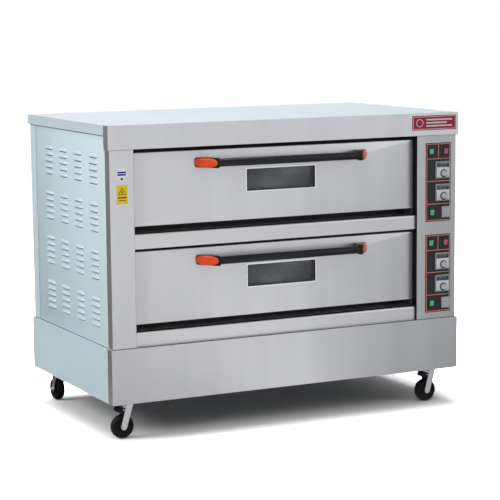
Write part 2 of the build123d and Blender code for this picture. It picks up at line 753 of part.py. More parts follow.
def caster_wheel():
    """Moulded wheel with a crowned tread, dished sides and a hub."""
    half = WHEEL_W / 2
    profile = Polyline(
        (AXLE_R + 0.06, -half - 3),
        (11, -half - 3),
        (13, -half + 5),
        (WHEEL_R - 13, -half + 5),
        (WHEEL_R - 11, -half),
        (WHEEL_R - 4, -half),
    )
    profile += ThreePointArc((WHEEL_R - 4, -half), (WHEEL_R, 0), (WHEEL_R - 4, half))
    profile += Polyline(
        (WHEEL_R - 4, half),
        (WHEEL_R - 11, half),
        (WHEEL_R - 13, half - 5),
        (13, half - 5),
        (11, half + 3),
        (AXLE_R + 0.06, half + 3),
        (AXLE_R + 0.06, -half - 3),
    )
    solid = revolve(make_face(profile), axis=Axis.Y)
    return Pos(TRAIL, 0, WHEEL_R) * solid


def placed(shape, spot):
    """Turns and moves a caster piece to its kingpin."""
    x, y, turn = spot
    return Pos(x, y, 0) * Rot(0, 0, turn) * shape


def nameplate():
    """Blank plate on the right of the fascia."""
    plate = block(572, 788, FRONT - 1.5, FRONT, 1178, 1239)
    return fillet(plate.edges().filter_by(Axis.Y), 3.0)


os.makedirs("parts", exist_ok=True)

save("base_frame", *base_frame())
save("base_front_panel", base_front_panel())
save("base_skirt_panels", *base_skirt_panels())
save("cabinet_floor", cabinet_floor())
save("top_cover", top_cover())
save("top_fascia", top_fascia())
save("front_columns", column(-COLUMN_HALF, OPENING_LEFT), right_column())
save("side_panels", side_panel(-1), side_panel(1))
save("rear_corner_posts", rear_corner_post(-1), rear_corner_post(1))
save("back_panel", back_panel())
save("cable_gland", cable_gland())
save("nameplate", nameplate())

groups = {
    "door_sills": [door_sill(drop) for drop in DECKS.values()],
    "chambers": [wall for drop in DECKS.values() for wall in chamber(drop)],
    "chamber_insulation": [slab for drop in DECKS.values() for slab in insulation(drop)],
    "hearth_plates": [piece for drop in DECKS.values() for piece in hearth_plate(drop)],
    "heating_elements": [rod for drop in DECKS.values() for rod in heating_elements(drop)],
    "control_panels": [control_panel(drop) for drop in DECKS.values()],
    "thermostats": [],
    "timers": [],
    "switch_frames": [],
}

for deck, drop in DECKS.items():
    save(f"{deck}_door_skin", door_skin(drop))
    save(f"{deck}_door_inner_panel", door_inner_panel(drop))
    save(f"{deck}_door_insulation", *door_insulation(drop))
    save(f"{deck}_door_glass", *window_panes(drop))
    save(f"{deck}_hinge_pins", *hinge_pins(drop))
    save(f"{deck}_handle_bar", handle_bar(drop))
    save(f"{deck}_handle_brackets", *handle_brackets(drop))
    save(f"{deck}_handle_caps", *handle_caps(drop))
    knobs = ["roof_heat_knob", "floor_heat_knob"]
    for kind, x, z, _, _ in device_places(drop):
        if kind == "thermostat":
            groups["thermostats"].append(thermostat(x, z))
            save(f"{deck}_{knobs.pop(0)}", knob(KNOB_X, z - KNOB_DROP))
        elif kind == "timer":
            groups["timers"].append(timer(x, z))
            save(f"{deck}_timer_key", timer_key(x, z))
        else:
            groups["switch_frames"].append(rocker_frame(x, z))
            save(f"{deck}_{kind}", rocker(x, z))

for name, members in groups.items():
    save(name, *members)

save("caster_plates", *[placed(caster_plate(), spot) for spot in CASTERS.values()])
for corner, spot in CASTERS.items():
    save(f"{corner}_caster_fork", placed(caster_fork(), spot))
    save(f"{corner}_caster_wheel", placed(caster_wheel(), spot))
    if corner.startswith("front"):
        save(f"{corner}_brake_pedal", placed(brake_pedal(), spot))

print("kingpins", CASTERS, "hinge y", HINGE_Y, "front", FRONT, "back", BACK)
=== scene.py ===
import json
import math

import bmesh
import bpy
import numpy as np
from mathutils import Matrix, Vector


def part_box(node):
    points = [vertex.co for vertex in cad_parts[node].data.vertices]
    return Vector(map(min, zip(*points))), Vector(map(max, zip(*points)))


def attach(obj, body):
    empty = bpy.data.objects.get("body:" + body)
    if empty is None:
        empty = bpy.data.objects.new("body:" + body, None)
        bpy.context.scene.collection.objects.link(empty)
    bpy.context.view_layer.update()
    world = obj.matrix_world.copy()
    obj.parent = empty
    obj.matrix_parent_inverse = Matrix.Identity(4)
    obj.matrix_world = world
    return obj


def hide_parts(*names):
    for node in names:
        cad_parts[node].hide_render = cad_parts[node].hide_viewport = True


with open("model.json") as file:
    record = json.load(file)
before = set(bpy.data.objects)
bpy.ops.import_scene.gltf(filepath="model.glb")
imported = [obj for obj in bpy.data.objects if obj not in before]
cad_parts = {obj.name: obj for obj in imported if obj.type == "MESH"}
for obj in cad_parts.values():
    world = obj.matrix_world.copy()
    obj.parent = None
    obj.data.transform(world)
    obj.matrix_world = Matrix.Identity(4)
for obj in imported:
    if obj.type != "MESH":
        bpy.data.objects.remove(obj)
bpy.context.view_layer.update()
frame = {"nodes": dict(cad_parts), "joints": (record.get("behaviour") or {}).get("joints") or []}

decks = ("upper", "lower")


# the camera stands left of the middle; yaw turns it from +Y towards +X, in degrees, and clip is in metres
cameraSet = {"place": (-3.365, -6.8085, 1.699), "yaw": 26.49, "pitch": -7.78, "roll": -0.53, "lens": 128.2,
             "sensor": 36, "clip": (0.1, 100)}


# forward = (sin yaw cos pitch, cos yaw cos pitch, sin pitch); right and up are turned about it by the roll
def addCamera():
    yaw, pitch, roll = (math.radians(cameraSet[k]) for k in ("yaw", "pitch", "roll"))
    forward = Vector((math.sin(yaw) * math.cos(pitch), math.cos(yaw) * math.cos(pitch), math.sin(pitch)))
    level = Vector((math.cos(yaw), -math.sin(yaw), 0))
    upright = level.cross(forward)
    right = math.cos(roll) * level + math.sin(roll) * upright
    up = right.cross(forward)
    data = bpy.data.cameras.new("viewCamera")
    data.lens = cameraSet["lens"]
    data.sensor_width = cameraSet["sensor"]
    data.clip_start, data.clip_end = cameraSet["clip"]
    camera = bpy.data.objects.new("viewCamera", data)
    bpy.context.scene.collection.objects.link(camera)
    turn = Matrix((right, up, -forward)).transposed().to_4x4()
    camera.matrix_world = Matrix.Translation(cameraSet["place"]) @ turn
    bpy.context.scene.camera = camera


addCamera()


# a new material, with constants set on its Principled sockets; an underscore stands for a space
def startMaterial(name, **sockets):
    material = bpy.data.materials.new(name)
    material.use_nodes = True
    tree = material.node_tree
    shader = tree.nodes["Principled BSDF"]
    for key, value in sockets.items():
        shader.inputs[key.replace("_", " ")].default_value = value
    return material, tree, shader


# a shader node of one kind, with its settings and the constants of its sockets
def addNode(tree, kind, sockets=None, **settings):
    node = tree.nodes.new("ShaderNode" + kind)
    for key, value in settings.items():
        setattr(node, key, value)
    for key, value in (sockets or {}).items():
        node.inputs[key].default_value = value
    return node


# joins an output to an input in the tree that both are in
def link(output, socket):
    output.id_data.links.new(output, socket)


# object coordinates turned, then multiplied by scale along each axis, so a small scale draws a pattern out
def stretched(tree, scale, turn=(0, 0, 0)):
    where = addNode(tree, "TexCoord")
    mapping = addNode(tree, "Mapping", {"Scale": scale, "Rotation": turn})
    link(where.outputs["Object"], mapping.inputs["Vector"])
    return mapping.outputs["Vector"]


# fractal noise from 0 to 1 at a scale per metre
def noiseAt(tree, vector, scale, detail=3.0, roughness=0.5):
    noise = addNode(tree, "TexNoise", {"Scale": scale, "Detail": detail, "Roughness": roughness})
    link(vector, noise.inputs["Vector"])
    return noise.outputs["Fac"]


# a colour for each place of a factor, straight between neighbouring stops
def ramp(tree, factor, stops):
    node = addNode(tree, "ValToRGB")
    band = node.color_ramp
    while len(band.elements) < len(stops):
        band.elements.new(0.5)
    for element, (place, colour) in zip(band.elements, stops):
        element.position = place
        element.color = (*colour, 1)
    link(factor, node.inputs["Fac"])
    return node.outputs["Color"]


# straight map of a factor, inLow to low and inHigh to high, held at both ends
def spread(tree, factor, low, high, inLow=0.3, inHigh=0.7):
    node = addNode(tree, "MapRange", {"From Min": inLow, "From Max": inHigh, "To Min": low, "To Max": high})
    link(factor, node.inputs["Value"])
    return node.outputs["Result"]


# bump from a height, laid over normals that are rounded at the edges by softEdge metres
def bumped(tree, shader, height, distance, strength=1.0, softEdge=0.0):
    bump = addNode(tree, "Bump", {"Distance": distance, "Strength": strength})
    link(height, bump.inputs["Height"])
    if softEdge:
        edge = addNode(tree, "Bevel", {"Radius": softEdge}, samples=4)
        link(edge.outputs["Normal"], bump.inputs["Normal"])
    link(bump.outputs["Normal"], shader.inputs["Normal"])


# broad soft clouds of tone, from colour times (1 - shift) to colour times (1 + shift)
def cloudy(tree, shader, colour, shift=0.06, scale=2.0):
    vector = stretched(tree, (1, 1, 1))
    broad = noiseAt(tree, vector, scale, 2.0)
    low = tuple(c * (1 - shift) for c in colour)
    high = tuple(min(1.0, c * (1 + shift)) for c in colour)
    link(ramp(tree, broad, [(0.3, low), (0.7, high)]), shader.inputs["Base Color"])
    return vector


# grain and cloud are noise scales per metre, and grainShare is how much of the tone comes from the grain
steelSet = {"bright": (0.745, 0.75, 0.765), "dull": (0.68, 0.685, 0.705), "grain": 900.0, "cloud": 9.0,
            "grainShare": 0.3, "roughness": 0.33, "metal": 0.86}


# brushed sheet: noise drawn out along the grain, in colour, roughness and height. The tone is grainShare
# * grain + (1 - grainShare) * cloud. The last argument is (from x, to x, share): painted shade that darkens
# the colour in a straight line from all of it at the first x to that share of it at the second
def brushedSteel(name, along="z", tint=1.0, roughness=None, softEdge=0.0012, paintedShadeFade=None):
    rough = steelSet["roughness"] if roughness is None else roughness
    material, tree, shader = startMaterial(name, Metallic=steelSet["metal"], Roughness=rough)
    squeeze = {"z": (1, 1, 0.012), "x": (0.012, 1, 1), "y": (1, 0.012, 1)}[along]
    vector = stretched(tree, squeeze)
    grain = noiseAt(tree, vector, steelSet["grain"], 4.0, 0.7)
    cloud = noiseAt(tree, vector, steelSet["cloud"], 2.0)
    both = addNode(tree, "Math", {1: steelSet["grainShare"]}, operation="MULTIPLY_ADD")
    link(grain, both.inputs[0])
    share = addNode(tree, "Math", {1: 1 - steelSet["grainShare"]}, operation="MULTIPLY")
    link(cloud, share.inputs[0])
    link(share.outputs[0], both.inputs[2])
    low = tuple(c * tint for c in steelSet["dull"])
    high = tuple(c * tint for c in steelSet["bright"])
    colour = ramp(tree, both.outputs[0], [(0.32, low), (0.68, high)])
    # painted shade: the colour is darkened in a straight line along x
    if paintedShadeFade:
        fromX, toX, farShare = paintedShadeFade
        place = addNode(tree, "SeparateXYZ")
        link(stretched(tree, (1, 1, 1)), place.inputs["Vector"])
        shadeDim = addNode(tree, "VectorMath", operation="SCALE")
        link(colour, shadeDim.inputs[0])
        link(spread(tree, place.outputs["X"], 1.0, farShare, fromX, toX), shadeDim.inputs["Scale"])
        colour = shadeDim.outputs["Vector"]
    link(colour, shader.inputs["Base Color"])
    link(spread(tree, grain, rough - 0.03, rough + 0.05), shader.inputs["Roughness"])
    bumped(tree, shader, grain, 0.00001, 0.35, softEdge)
    return material


# colours of the sheets, and the noise scale of the orange peel per metre
paintSet = {"side": (0.57, 0.69, 0.745), "lid": (0.53, 0.62, 0.66), "peel": 420.0}


# coated sheet with a fine orange peel and soft clouds of tone
def coatedSheet(name, colour, roughness=0.34):
    material, tree, shader = startMaterial(name, Roughness=roughness, Coat_Weight=0.25, Coat_Roughness=0.25)
    vector = cloudy(tree, shader, colour, 0.025, 1.4)
    peel = noiseAt(tree, vector, paintSet["peel"], 2.0)
    smudge = noiseAt(tree, vector, 6.0, 3.0)
    link(spread(tree, smudge, roughness - 0.05, roughness + 0.08), shader.inputs["Roughness"])
    bumped(tree, shader, peel, 0.00006, 0.5, 0.0012)
    return material


# moulded plastic: base colour with soft clouds, fine texture in roughness and height
def mouldedPlastic(name, colour, roughness=0.35, grain=700.0, depth=0.00003, shift=0.05, coat=0.0, shine=0.5):
    material, tree, shader = startMaterial(name, Roughness=roughness, Coat_Weight=coat, Coat_Roughness=0.08,
                                           Specular_IOR_Level=shine)
    vector = cloudy(tree, shader, colour, shift, 14.0)
    speck = noiseAt(tree, vector, grain, 2.0)
    link(spread(tree, speck, roughness - 0.04, roughness + 0.06), shader.inputs["Roughness"])
    bumped(tree, shader, speck, depth, 0.6, 0.0004)
    return material


# lit rocker: plastic with fine level prism lines, each glowing from 0.35 of the glow colour up to all of it
def litPlastic(name, colour, glow, strength):
    material, tree, shader = startMaterial(name, Roughness=0.18, Coat_Weight=0.5, Emission_Strength=strength)
    vector = cloudy(tree, shader, colour, 0.15, 30.0)
    ribs = addNode(tree, "TexWave", {"Scale": 260.0, "Distortion": 0.4}, bands_direction="Z")
    link(vector, ribs.inputs["Vector"])
    faint = tuple(0.35 * g for g in glow)
    lit = ramp(tree, ribs.outputs["Fac"], [(0.1, faint), (0.9, glow)])
    link(lit, shader.inputs["Emission Color"])
    bumped(tree, shader, ribs.outputs["Fac"], 0.0001, 0.4)
    return material


# oxidised plate: brown-grey mill scale with lighter scuffs
def scaledPlate(name, dark, light, roughness=0.55, metallic=0.7):
    material, tree, shader = startMaterial(name, Metallic=metallic, Roughness=roughness)
    vector = stretched(tree, (1, 1, 1))
    scale = noiseAt(tree, vector, 18.0, 6.0, 0.65)
    link(ramp(tree, scale, [(0.35, dark), (0.65, light)]), shader.inputs["Base Color"])
    link(spread(tree, scale, roughness - 0.12, roughness + 0.15), shader.inputs["Roughness"])
    bumped(tree, shader, noiseAt(tree, vector, 160.0, 4.0), 0.0003, 0.4)
    return material


# mineral wool: pale tangled fibres from one noise squeezed along Z
def looseWool(name):
    material, tree, shader = startMaterial(name, Roughness=0.95, Sheen_Weight=0.3)
    vector = stretched(tree, (1, 1, 6))
    fibre = noiseAt(tree, vector, 220.0, 8.0, 0.8)
    straw = ramp(tree, fibre, [(0.3, (0.42, 0.36, 0.2)), (0.7, (0.78, 0.72, 0.5))])
    link(straw, shader.inputs["Base Color"])
    bumped(tree, shader, fibre, 0.002, 0.8)
    return material


# window glass with a faint film of grease; clear lets through, tint colours what comes back
def ovenGlass(name, tint, clear, rough):
    material, tree, shader = startMaterial(name, Roughness=rough, IOR=1.45, Transmission_Weight=clear)
    vector = stretched(tree, (1, 1, 1))
    film = noiseAt(tree, vector, 7.0, 4.0)
    low = tuple(c * 0.9 for c in tint)
    link(ramp(tree, film, [(0.3, low), (0.7, tint)]), shader.inputs["Base Color"])
    link(spread(tree, film, rough, rough + 0.05), shader.inputs["Roughness"])
    return material


# braided rope seal: two crossed waves for the plait, pale glass fibre with grey in the valleys
def braidedRope(name):
    material, tree, shader = startMaterial(name, Roughness=0.9, Sheen_Weight=0.4)
    plaits = []
    for angle in (0.8, -0.8):
        wave = addNode(tree, "TexWave", {"Scale": 420.0, "Distortion": 1.5}, bands_direction="X")
        link(stretched(tree, (1, 1, 1), (0, angle, 0)), wave.inputs["Vector"])
        plaits.append(wave.outputs["Fac"])
    woven = addNode(tree, "Math", operation="MULTIPLY")
    link(plaits[0], woven.inputs[0])
    link(plaits[1], woven.inputs[1])
    link(ramp(tree, woven.outputs[0], [(0.0, (0.16, 0.15, 0.13)), (0.6, (0.55, 0.53, 0.48))]),
                   shader.inputs["Base Color"])
    bumped(tree, shader, woven.outputs[0], 0.0006, 0.8)
    return material


# every material by name: the function that makes it and what follows the name; the column and base steels
# carry painted shade that darkens them towards +X
materialMakers = {
    "steelUpright": (brushedSteel, "z"),
    "steelColumn": (brushedSteel, "z", 1.0, None, 0.0012, (0.2, 0.7, 0.74)),
    "steelBase": (brushedSteel, "z", 0.96, None, 0.0012, (0.1, 0.8, 0.86)),
    "steelLevel": (brushedSteel, "x"),
    "steelTrim": (brushedSteel, "x", 1.28, 0.2, 0.0005),
    "steelInner": (brushedSteel, "x", 0.8, 0.4),
    "sideSheet": (coatedSheet, paintSet["side"]),
    "lidSheet": (coatedSheet, paintSet["lid"]),
    "frameGrey": (mouldedPlastic, (0.09, 0.10, 0.11), 0.5, 120.0, 0.0002, 0.1),
    # the chambers' mill scale, kept near black as painted shade so the gaps round the doors read dark
    "chamberSteel": (scaledPlate, (0.020, 0.018, 0.017), (0.060, 0.054, 0.050), 0.6, 0.3),
    "hearthPlate": (scaledPlate, (0.045, 0.04, 0.038), (0.12, 0.105, 0.095), 0.6, 0.6),
    "heaterRod": (scaledPlate, (0.06, 0.045, 0.04), (0.17, 0.13, 0.11), 0.5, 0.8),
    "wool": (looseWool,),
    "handleBlack": (mouldedPlastic, (0.003, 0.0035, 0.006), 0.17, 500.0, 0.00001, 0.2, 0.0, 0.32),
    "legBlack": (mouldedPlastic, (0.004, 0.004, 0.005), 0.34, 800.0, 0.00003, 0.2, 0.0, 0.3),
    "capOrange": (mouldedPlastic, (1.0, 0.085, 0.014), 0.3, 500.0, 0.00002, 0.04, 0.15),
    "outerGlass": (ovenGlass, (0.86, 0.90, 0.92), 0.96, 0.02),
    "innerGlass": (ovenGlass, (0.085, 0.115, 0.145), 0.12, 0.14),
    "sealRope": (braidedRope,),
    "overlayBlack": (mouldedPlastic, (0.006, 0.009, 0.012), 0.42, 1200.0, 0.00002, 0.2),
    "overlayRed": (mouldedPlastic, (0.88, 0.29, 0.21), 0.4, 1200.0, 0.00002, 0.06),
    "faceWhite": (mouldedPlastic, (0.80, 0.80, 0.85), 0.32),
    "bezelGrey": (mouldedPlastic, (0.33, 0.34, 0.37), 0.4),
    "displayDark": (mouldedPlastic, (0.02, 0.025, 0.035), 0.1, 900.0, 0.00001, 0.2, 0.5),
    "knobSilver": (mouldedPlastic, (0.62, 0.63, 0.66), 0.25, 600.0, 0.00002, 0.05, 0.3),
    # dark grey for the knob skirts, which is painted shade, and for the printed ticks and marks
    "knobShade": (mouldedPlastic, (0.16, 0.17, 0.19), 0.35),
    "timerGrey": (mouldedPlastic, (0.50, 0.52, 0.57), 0.42),
    "switchBlack": (mouldedPlastic, (0.012, 0.012, 0.013), 0.35),
    "greenLit": (litPlastic, (0.015, 0.075, 0.04), (0.14, 0.52, 0.28), 0.7),
    "pinkLit": (litPlastic, (0.10, 0.012, 0.035), (0.60, 0.16, 0.26), 0.55),
    "zincPlate": (brushedSteel, "z", 1.2, 0.22, 0.0008),
    "tyreRubber": (mouldedPlastic, (0.004, 0.004, 0.0045), 0.6, 300.0, 0.00015, 0.2, 0.0, 0.25),
    "pedalBlack": (mouldedPlastic, (0.004, 0.004, 0.005), 0.5, 400.0, 0.0001, 0.2, 0.0, 0.25),
    "plateRed": (mouldedPlastic, (0.33, 0.003, 0.040), 0.4, 900.0, 0.00001, 0.06),
    "platePale": (mouldedPlastic, (0.80, 0.66, 0.70), 0.3),
    "labelWhite": (mouldedPlastic, (0.96, 0.96, 1.0), 0.5),
    "labelNavy": (mouldedPlastic, (0.03, 0.03, 0.30), 0.4),
    "labelYellow": (mouldedPlastic, (0.93, 0.70, 0.006), 0.5),
    "labelInk": (mouldedPlastic, (0.035, 0.018, 0.004), 0.45),
    # black for the opening linings: painted shade in the gaps round the doors
    "liningBlack": (mouldedPlastic, (0.006, 0.006, 0.007), 0.7, 500.0, 0.00003, 0.2, 0.0, 0.15),
    # painted shade: the dark of the seam beads
    "seamDark": (mouldedPlastic, (0.035, 0.05, 0.06), 0.7),
    # the dark strips under the louvre hoods: painted shadow
    "slotDark": (mouldedPlastic, (0.10, 0.13, 0.15), 0.7),
}
materials = {name: make(name, *rest) for name, (make, *rest) in materialMakers.items()}


# gives a CAD node one material in place of its own
def paint(node, material):
    cad = frame["nodes"][node]
    cad.data.materials.clear()
    cad.data.materials.append(materials[material])


nodeFinish = {
    "base_frame": "frameGrey", "base_front_panel": "steelBase", "base_skirt_panels": "sideSheet",
    "cabinet_floor": "frameGrey", "top_cover": "lidSheet", "top_fascia": "steelUpright",
    "front_columns": "steelColumn", "side_panels": "sideSheet", "rear_corner_posts": "sideSheet",
    "back_panel": "sideSheet", "cable_gland": "switchBlack", "nameplate": "plateRed",
    "door_sills": "steelLevel", "chambers": "chamberSteel", "chamber_insulation": "wool",
    "hearth_plates": "hearthPlate", "heating_elements": "heaterRod", "control_panels": "overlayBlack",
    "thermostats": "bezelGrey", "timers": "timerGrey", "switch_frames": "switchBlack",
    "caster_plates": "zincPlate",
}
for deck in decks:
    nodeFinish.update({
        deck + "_door_skin": "steelUpright", deck + "_door_inner_panel": "steelInner",
        deck + "_door_insulation": "wool", deck + "_door_glass": "innerGlass",
        deck + "_hinge_pins": "zincPlate",
        deck + "_handle_bar": "handleBlack", deck + "_handle_brackets": "legBlack",
        deck + "_handle_caps": "capOrange", deck + "_roof_heat_knob": "knobSilver",
        deck + "_floor_heat_knob": "knobSilver", deck + "_power_rocker": "greenLit",
        deck + "_lamp_rocker": "greenLit", deck + "_heat_rocker": "pinkLit", deck + "_timer_key": "timerGrey",
    })
for corner in ("front_left", "front_right", "rear_left", "rear_right"):
    nodeFinish[corner + "_caster_fork"] = "zincPlate"
    nodeFinish[corner + "_caster_wheel"] = "tyreRubber"
for corner in ("front_left", "front_right"):
    nodeFinish[corner + "_brake_pedal"] = "pedalBlack"
for node, finish in nodeFinish.items():
    paint(node, finish)


# a grid of points joined into four-sided faces; closed joins the last column to the first,
# and capStart and capEnd close the first and last rows with one face each
def gridPatch(points, closed=True, capStart=False, capEnd=False, flip=False):
    points = np.asarray(points, float)
    rows, columns, _ = points.shape
    index = np.arange(rows * columns).reshape(rows, columns)
    right = np.roll(index, -1, axis=1) if closed else index[:, 1:]
    left = index if closed else index[:, :-1]
    quads = np.stack([left[:-1], right[:-1], right[1:], left[1:]], axis=-1).reshape(-1, 4)
    if flip:
        quads = quads[:, ::-1]
    faces = quads.tolist()
    if capStart:
        faces.append(index[0].tolist() if flip else index[0][::-1].tolist())
    if capEnd:
        faces.append(index[-1][::-1].tolist() if flip else index[-1].tolist())
    return points.reshape(-1, 3), faces


# patches become one mesh; doubles are merged and a closed shape has its normals turned outwards
def addPiece(name, patches, material, body, replaced=(), solid=True, smoothAngle=35.0):
    points, faces, start = [], [], 0
    for patchPoints, patchFaces in patches:
        points.append(patchPoints)
        faces += [[corner + start for corner in face] for face in patchFaces]
        start += len(patchPoints)
    mesh = bpy.data.meshes.new(name)
    mesh.from_pydata(np.concatenate(points).tolist(), [], faces)
    work = bmesh.new()
    work.from_mesh(mesh)
    bmesh.ops.remove_doubles(work, verts=work.verts, dist=1e-6)
    if solid:
        bmesh.ops.recalc_face_normals(work, faces=work.faces)
    work.to_mesh(mesh)
    work.free()
    mesh.polygons.foreach_set("use_smooth", np.ones(len(mesh.polygons), bool))
    mesh.set_sharp_from_angle(angle=math.radians(smoothAngle))
    mesh.materials.append(materials[material])
    piece = bpy.data.objects.new(name, mesh)
    bpy.context.scene.collection.objects.link(piece)
    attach(piece, body)
    if replaced:
        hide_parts(*replaced)
    return piece


# rounded box: with quarter signs s, x = sx (hx - r) + r cos u cos v, y = sy (hy - r) + r sin u cos v,
# z = sz (hz - r) + r sin v
def roundedBox(low, high, radius, steps=3):
    low, high = np.array(low, float), np.array(high, float)
    middle, half = (low + high) / 2, (high - low) / 2 - radius
    quarter = np.linspace(0, math.pi / 2, steps + 1)
    u = np.concatenate([quarter + k * math.pi / 2 for k in range(4)])
    sx = np.repeat([1, -1, -1, 1], steps + 1)
    sy = np.repeat([1, 1, -1, -1], steps + 1)
    v = np.concatenate([quarter - math.pi / 2, quarter])[:, None]
    sz = np.repeat([-1, 1], steps + 1)[:, None]
    x = middle[0] + sx * half[0] + radius * np.cos(u) * np.cos(v)
    y = middle[1] + sy * half[1] + radius * np.sin(u) * np.cos(v)
    z = middle[2] + sz * half[2] + radius * np.sin(v) + 0 * u
    return gridPatch(np.stack([x, y, z], -1), True, True, True)


# turned shape: each (along, radius) of the profile goes round the axis through centre, u being the angle;
# with flutes the radius is multiplied by 1 - fluteDepth (0.5 + 0.5 cos(flutes u))^3
def turned(profile, centre, axis, columns=48, flutes=0, fluteDepth=0.0):
    profile = np.array(profile, float)
    along, radius = profile[:, :1], profile[:, 1:]
    u = np.linspace(0, 2 * math.pi, columns, endpoint=False)
    axis = np.array(axis, float)
    side = np.cross(axis, (0, 0, 1.0)) if abs(axis[2]) < 0.9 else np.array((1.0, 0, 0))
    side /= np.linalg.norm(side)
    other = np.cross(axis, side)
    wave = 1 - fluteDepth * (0.5 + 0.5 * np.cos(flutes * u)) ** 3 if flutes else 1 + 0 * u
    reach = radius * wave
    points = (np.array(centre) + along[..., None] * axis + (reach * np.cos(u))[..., None] * side
              + (reach * np.sin(u))[..., None] * other)
    return gridPatch(points, True, True, True)


# rounded rectangle outline, anticlockwise: across = sx (halfWidth - radius) + radius cos u, and upwards
# the same with halfHeight and sin u
def roundedOutline(halfWidth, halfHeight, radius, steps=5):
    quarter = np.linspace(0, math.pi / 2, steps + 1)
    u = np.concatenate([quarter + k * math.pi / 2 for k in range(4)])
    sx = np.repeat([1, -1, -1, 1], steps + 1)
    sy = np.repeat([1, 1, -1, -1], steps + 1)
    return np.stack([sx * (halfWidth - radius) + radius * np.cos(u),
                     sy * (halfHeight - radius) + radius * np.sin(u)], -1)


# hoods on the side sheets; hoodOut is how far their box stands off the sheet, lip lifts a hood's mouth,
# and the painted shadow below a mouth reaches down by the drop
louvreSet = {"columns": 4, "groups": 4, "inGroup": 5, "firstFromFront": 0.179, "pitchY": 0.167,
             "pitchZ": 0.0258, "groupPitch": 0.190, "top": 1.117, "width": 0.088, "height": 0.015,
             "proud": 0.0066,
             "hoodOut": 0.006, "lip": 0.002, "shadowDrop": 0.0055, "sheet": 0.0015, "shy": 0.0006}


# one hood, s across from -1 to 1 and t up from 0 to 1: a bar with round ends. end = (1 - s^6)^0.55, its
# height is end times t, and it stands proud by end (1 - t^1.6)^0.8. The shade is painted shadow: a dark
# strip from the sheet, below the mouth, up to 0.8 of the way out under its edge
def louvreHood(outer, side, y, z):
    s = np.sin(np.linspace(-math.pi / 2, math.pi / 2, 17))[None, :]
    t = np.linspace(0, 1, 6)[:, None]
    end = np.clip(1 - s ** 6, 0, 1) ** 0.55
    across = y + s * louvreSet["width"] / 2 + 0 * t
    rise = z + louvreSet["lip"] + (louvreSet["height"] - louvreSet["lip"]) * end * t
    proud = louvreSet["proud"] * end * np.clip(1 - t ** 1.6, 0, 1) ** 0.8
    points = np.stack([outer + side * (proud + 0.0001), across, rise], -1)
    mouth = np.array([[0.0], [0.8]])
    under = rise[:1] - louvreSet["shadowDrop"] * (1 - mouth) * end
    shade = np.stack([outer + side * (0.0002 + mouth * proud[:1]), across[:2], under], -1)
    return gridPatch(points, False, flip=side < 0), gridPatch(shade, False, flip=side > 0)


# on each side a flat sheet, and in rows and columns its hoods and the painted shadows below their mouths
def addLouvredSides():
    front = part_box("top_fascia")[0].y
    low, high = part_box("side_panels")
    thick, shy = louvreSet["sheet"], louvreSet["shy"]
    outer = high.x - louvreSet["hoodOut"]
    for side, label in ((-1, "left"), (1, "right")):
        edge = side * outer
        hoods, shades = [], []
        for column in range(louvreSet["columns"]):
            y = front + louvreSet["firstFromFront"] + column * louvreSet["pitchY"]
            for row in range(louvreSet["groups"] * louvreSet["inGroup"]):
                group, step = divmod(row, louvreSet["inGroup"])
                z = louvreSet["top"] - group * louvreSet["groupPitch"] - step * louvreSet["pitchZ"]
                hood, shade = louvreHood(edge, side, y, z)
                hoods.append(hood)
                shades.append(shade)
        ends = sorted((edge, edge - side * thick))
        plate = roundedBox((ends[0], low.y + shy, low.z), (ends[1], high.y - shy, high.z), 0.0005, 2)
        addPiece(label + "SideSheet", [plate], "sideSheet", "cabinet", ("side_panels",))
        addPiece(label + "Louvres", hoods, "sideSheet", "cabinet", (), solid=False,
                 smoothAngle=80)
        addPiece(label + "LouvreShadows", shades, "slotDark", "cabinet", (), solid=False)


# the beads are wide and proud in metres; the linings are black sheet inside the door openings, painted shade
# that keeps the gaps round the doors black
seamSet = {"wide": 0.0024, "proud": 0.0004, "sunk": 0.001, "lining": 0.001, "postReach": 0.06, "gap": 0.003,
           "liningFrom": 0.0012, "liningDeep": 0.036, "sillFrom": 0.004}


# a narrow dark bead, painted shade along a seam, that fills the box from low to high, its edges rounded by
# 0.2 mm
def seamShadeBead(low, high):
    return roundedBox(low, high, 0.0002, 1)


# beads of painted shade, dark lines where seams lie in shadow: under the cover, up the corner post and along
# the base on both sides, and three kinds across the front
def addSeams():
    wide, proud, sunk = seamSet["wide"], seamSet["proud"], seamSet["sunk"]
    sheetLow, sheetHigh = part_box("side_panels")
    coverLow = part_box("top_cover")[0]
    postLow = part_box("rear_corner_posts")[0]
    postEnd = postLow.y + seamSet["postReach"]
    columnLow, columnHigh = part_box("front_columns")
    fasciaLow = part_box("top_fascia")[0]
    skinLow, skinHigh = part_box("upper_door_skin")
    outer = sheetHigh.x - louvreSet["hoodOut"]
    beads = []
    for side in (-1, 1):
        x = sorted((side * (outer - sunk), side * (outer + proud)))
        spans = [(sheetLow.y, coverLow.z - wide * 1.6, postEnd, coverLow.z),
                 (postLow.y - wide / 2, sheetLow.z, postLow.y + wide / 2, coverLow.z),
                 (sheetLow.y, sheetLow.z, postEnd, sheetLow.z + wide)]
        beads += [seamShadeBead((x[0], y0, z0), (x[1], y1, z1)) for y0, z0, y1, z1 in spans]
    face = columnLow.y
    under = fasciaLow.z - wide * 0.7
    spans = [(columnLow.x, under, skinLow.x - seamSet["gap"], fasciaLow.z),
             (skinHigh.x + seamSet["gap"], under, columnHigh.x, fasciaLow.z),
             (columnLow.x, columnLow.z, columnHigh.x, columnLow.z + wide * 0.8)]
    beads += [seamShadeBead((x0, face - proud, z0), (x1, face + sunk, z1)) for x0, z0, x1, z1 in spans]
    addPiece("seamShadeBeads", beads, "seamDark", "cabinet", ())
    addPiece("openingShadeLinings", openingShadeLinings(face, columnLow.z, fasciaLow.z), "liningBlack", "cabinet", ())


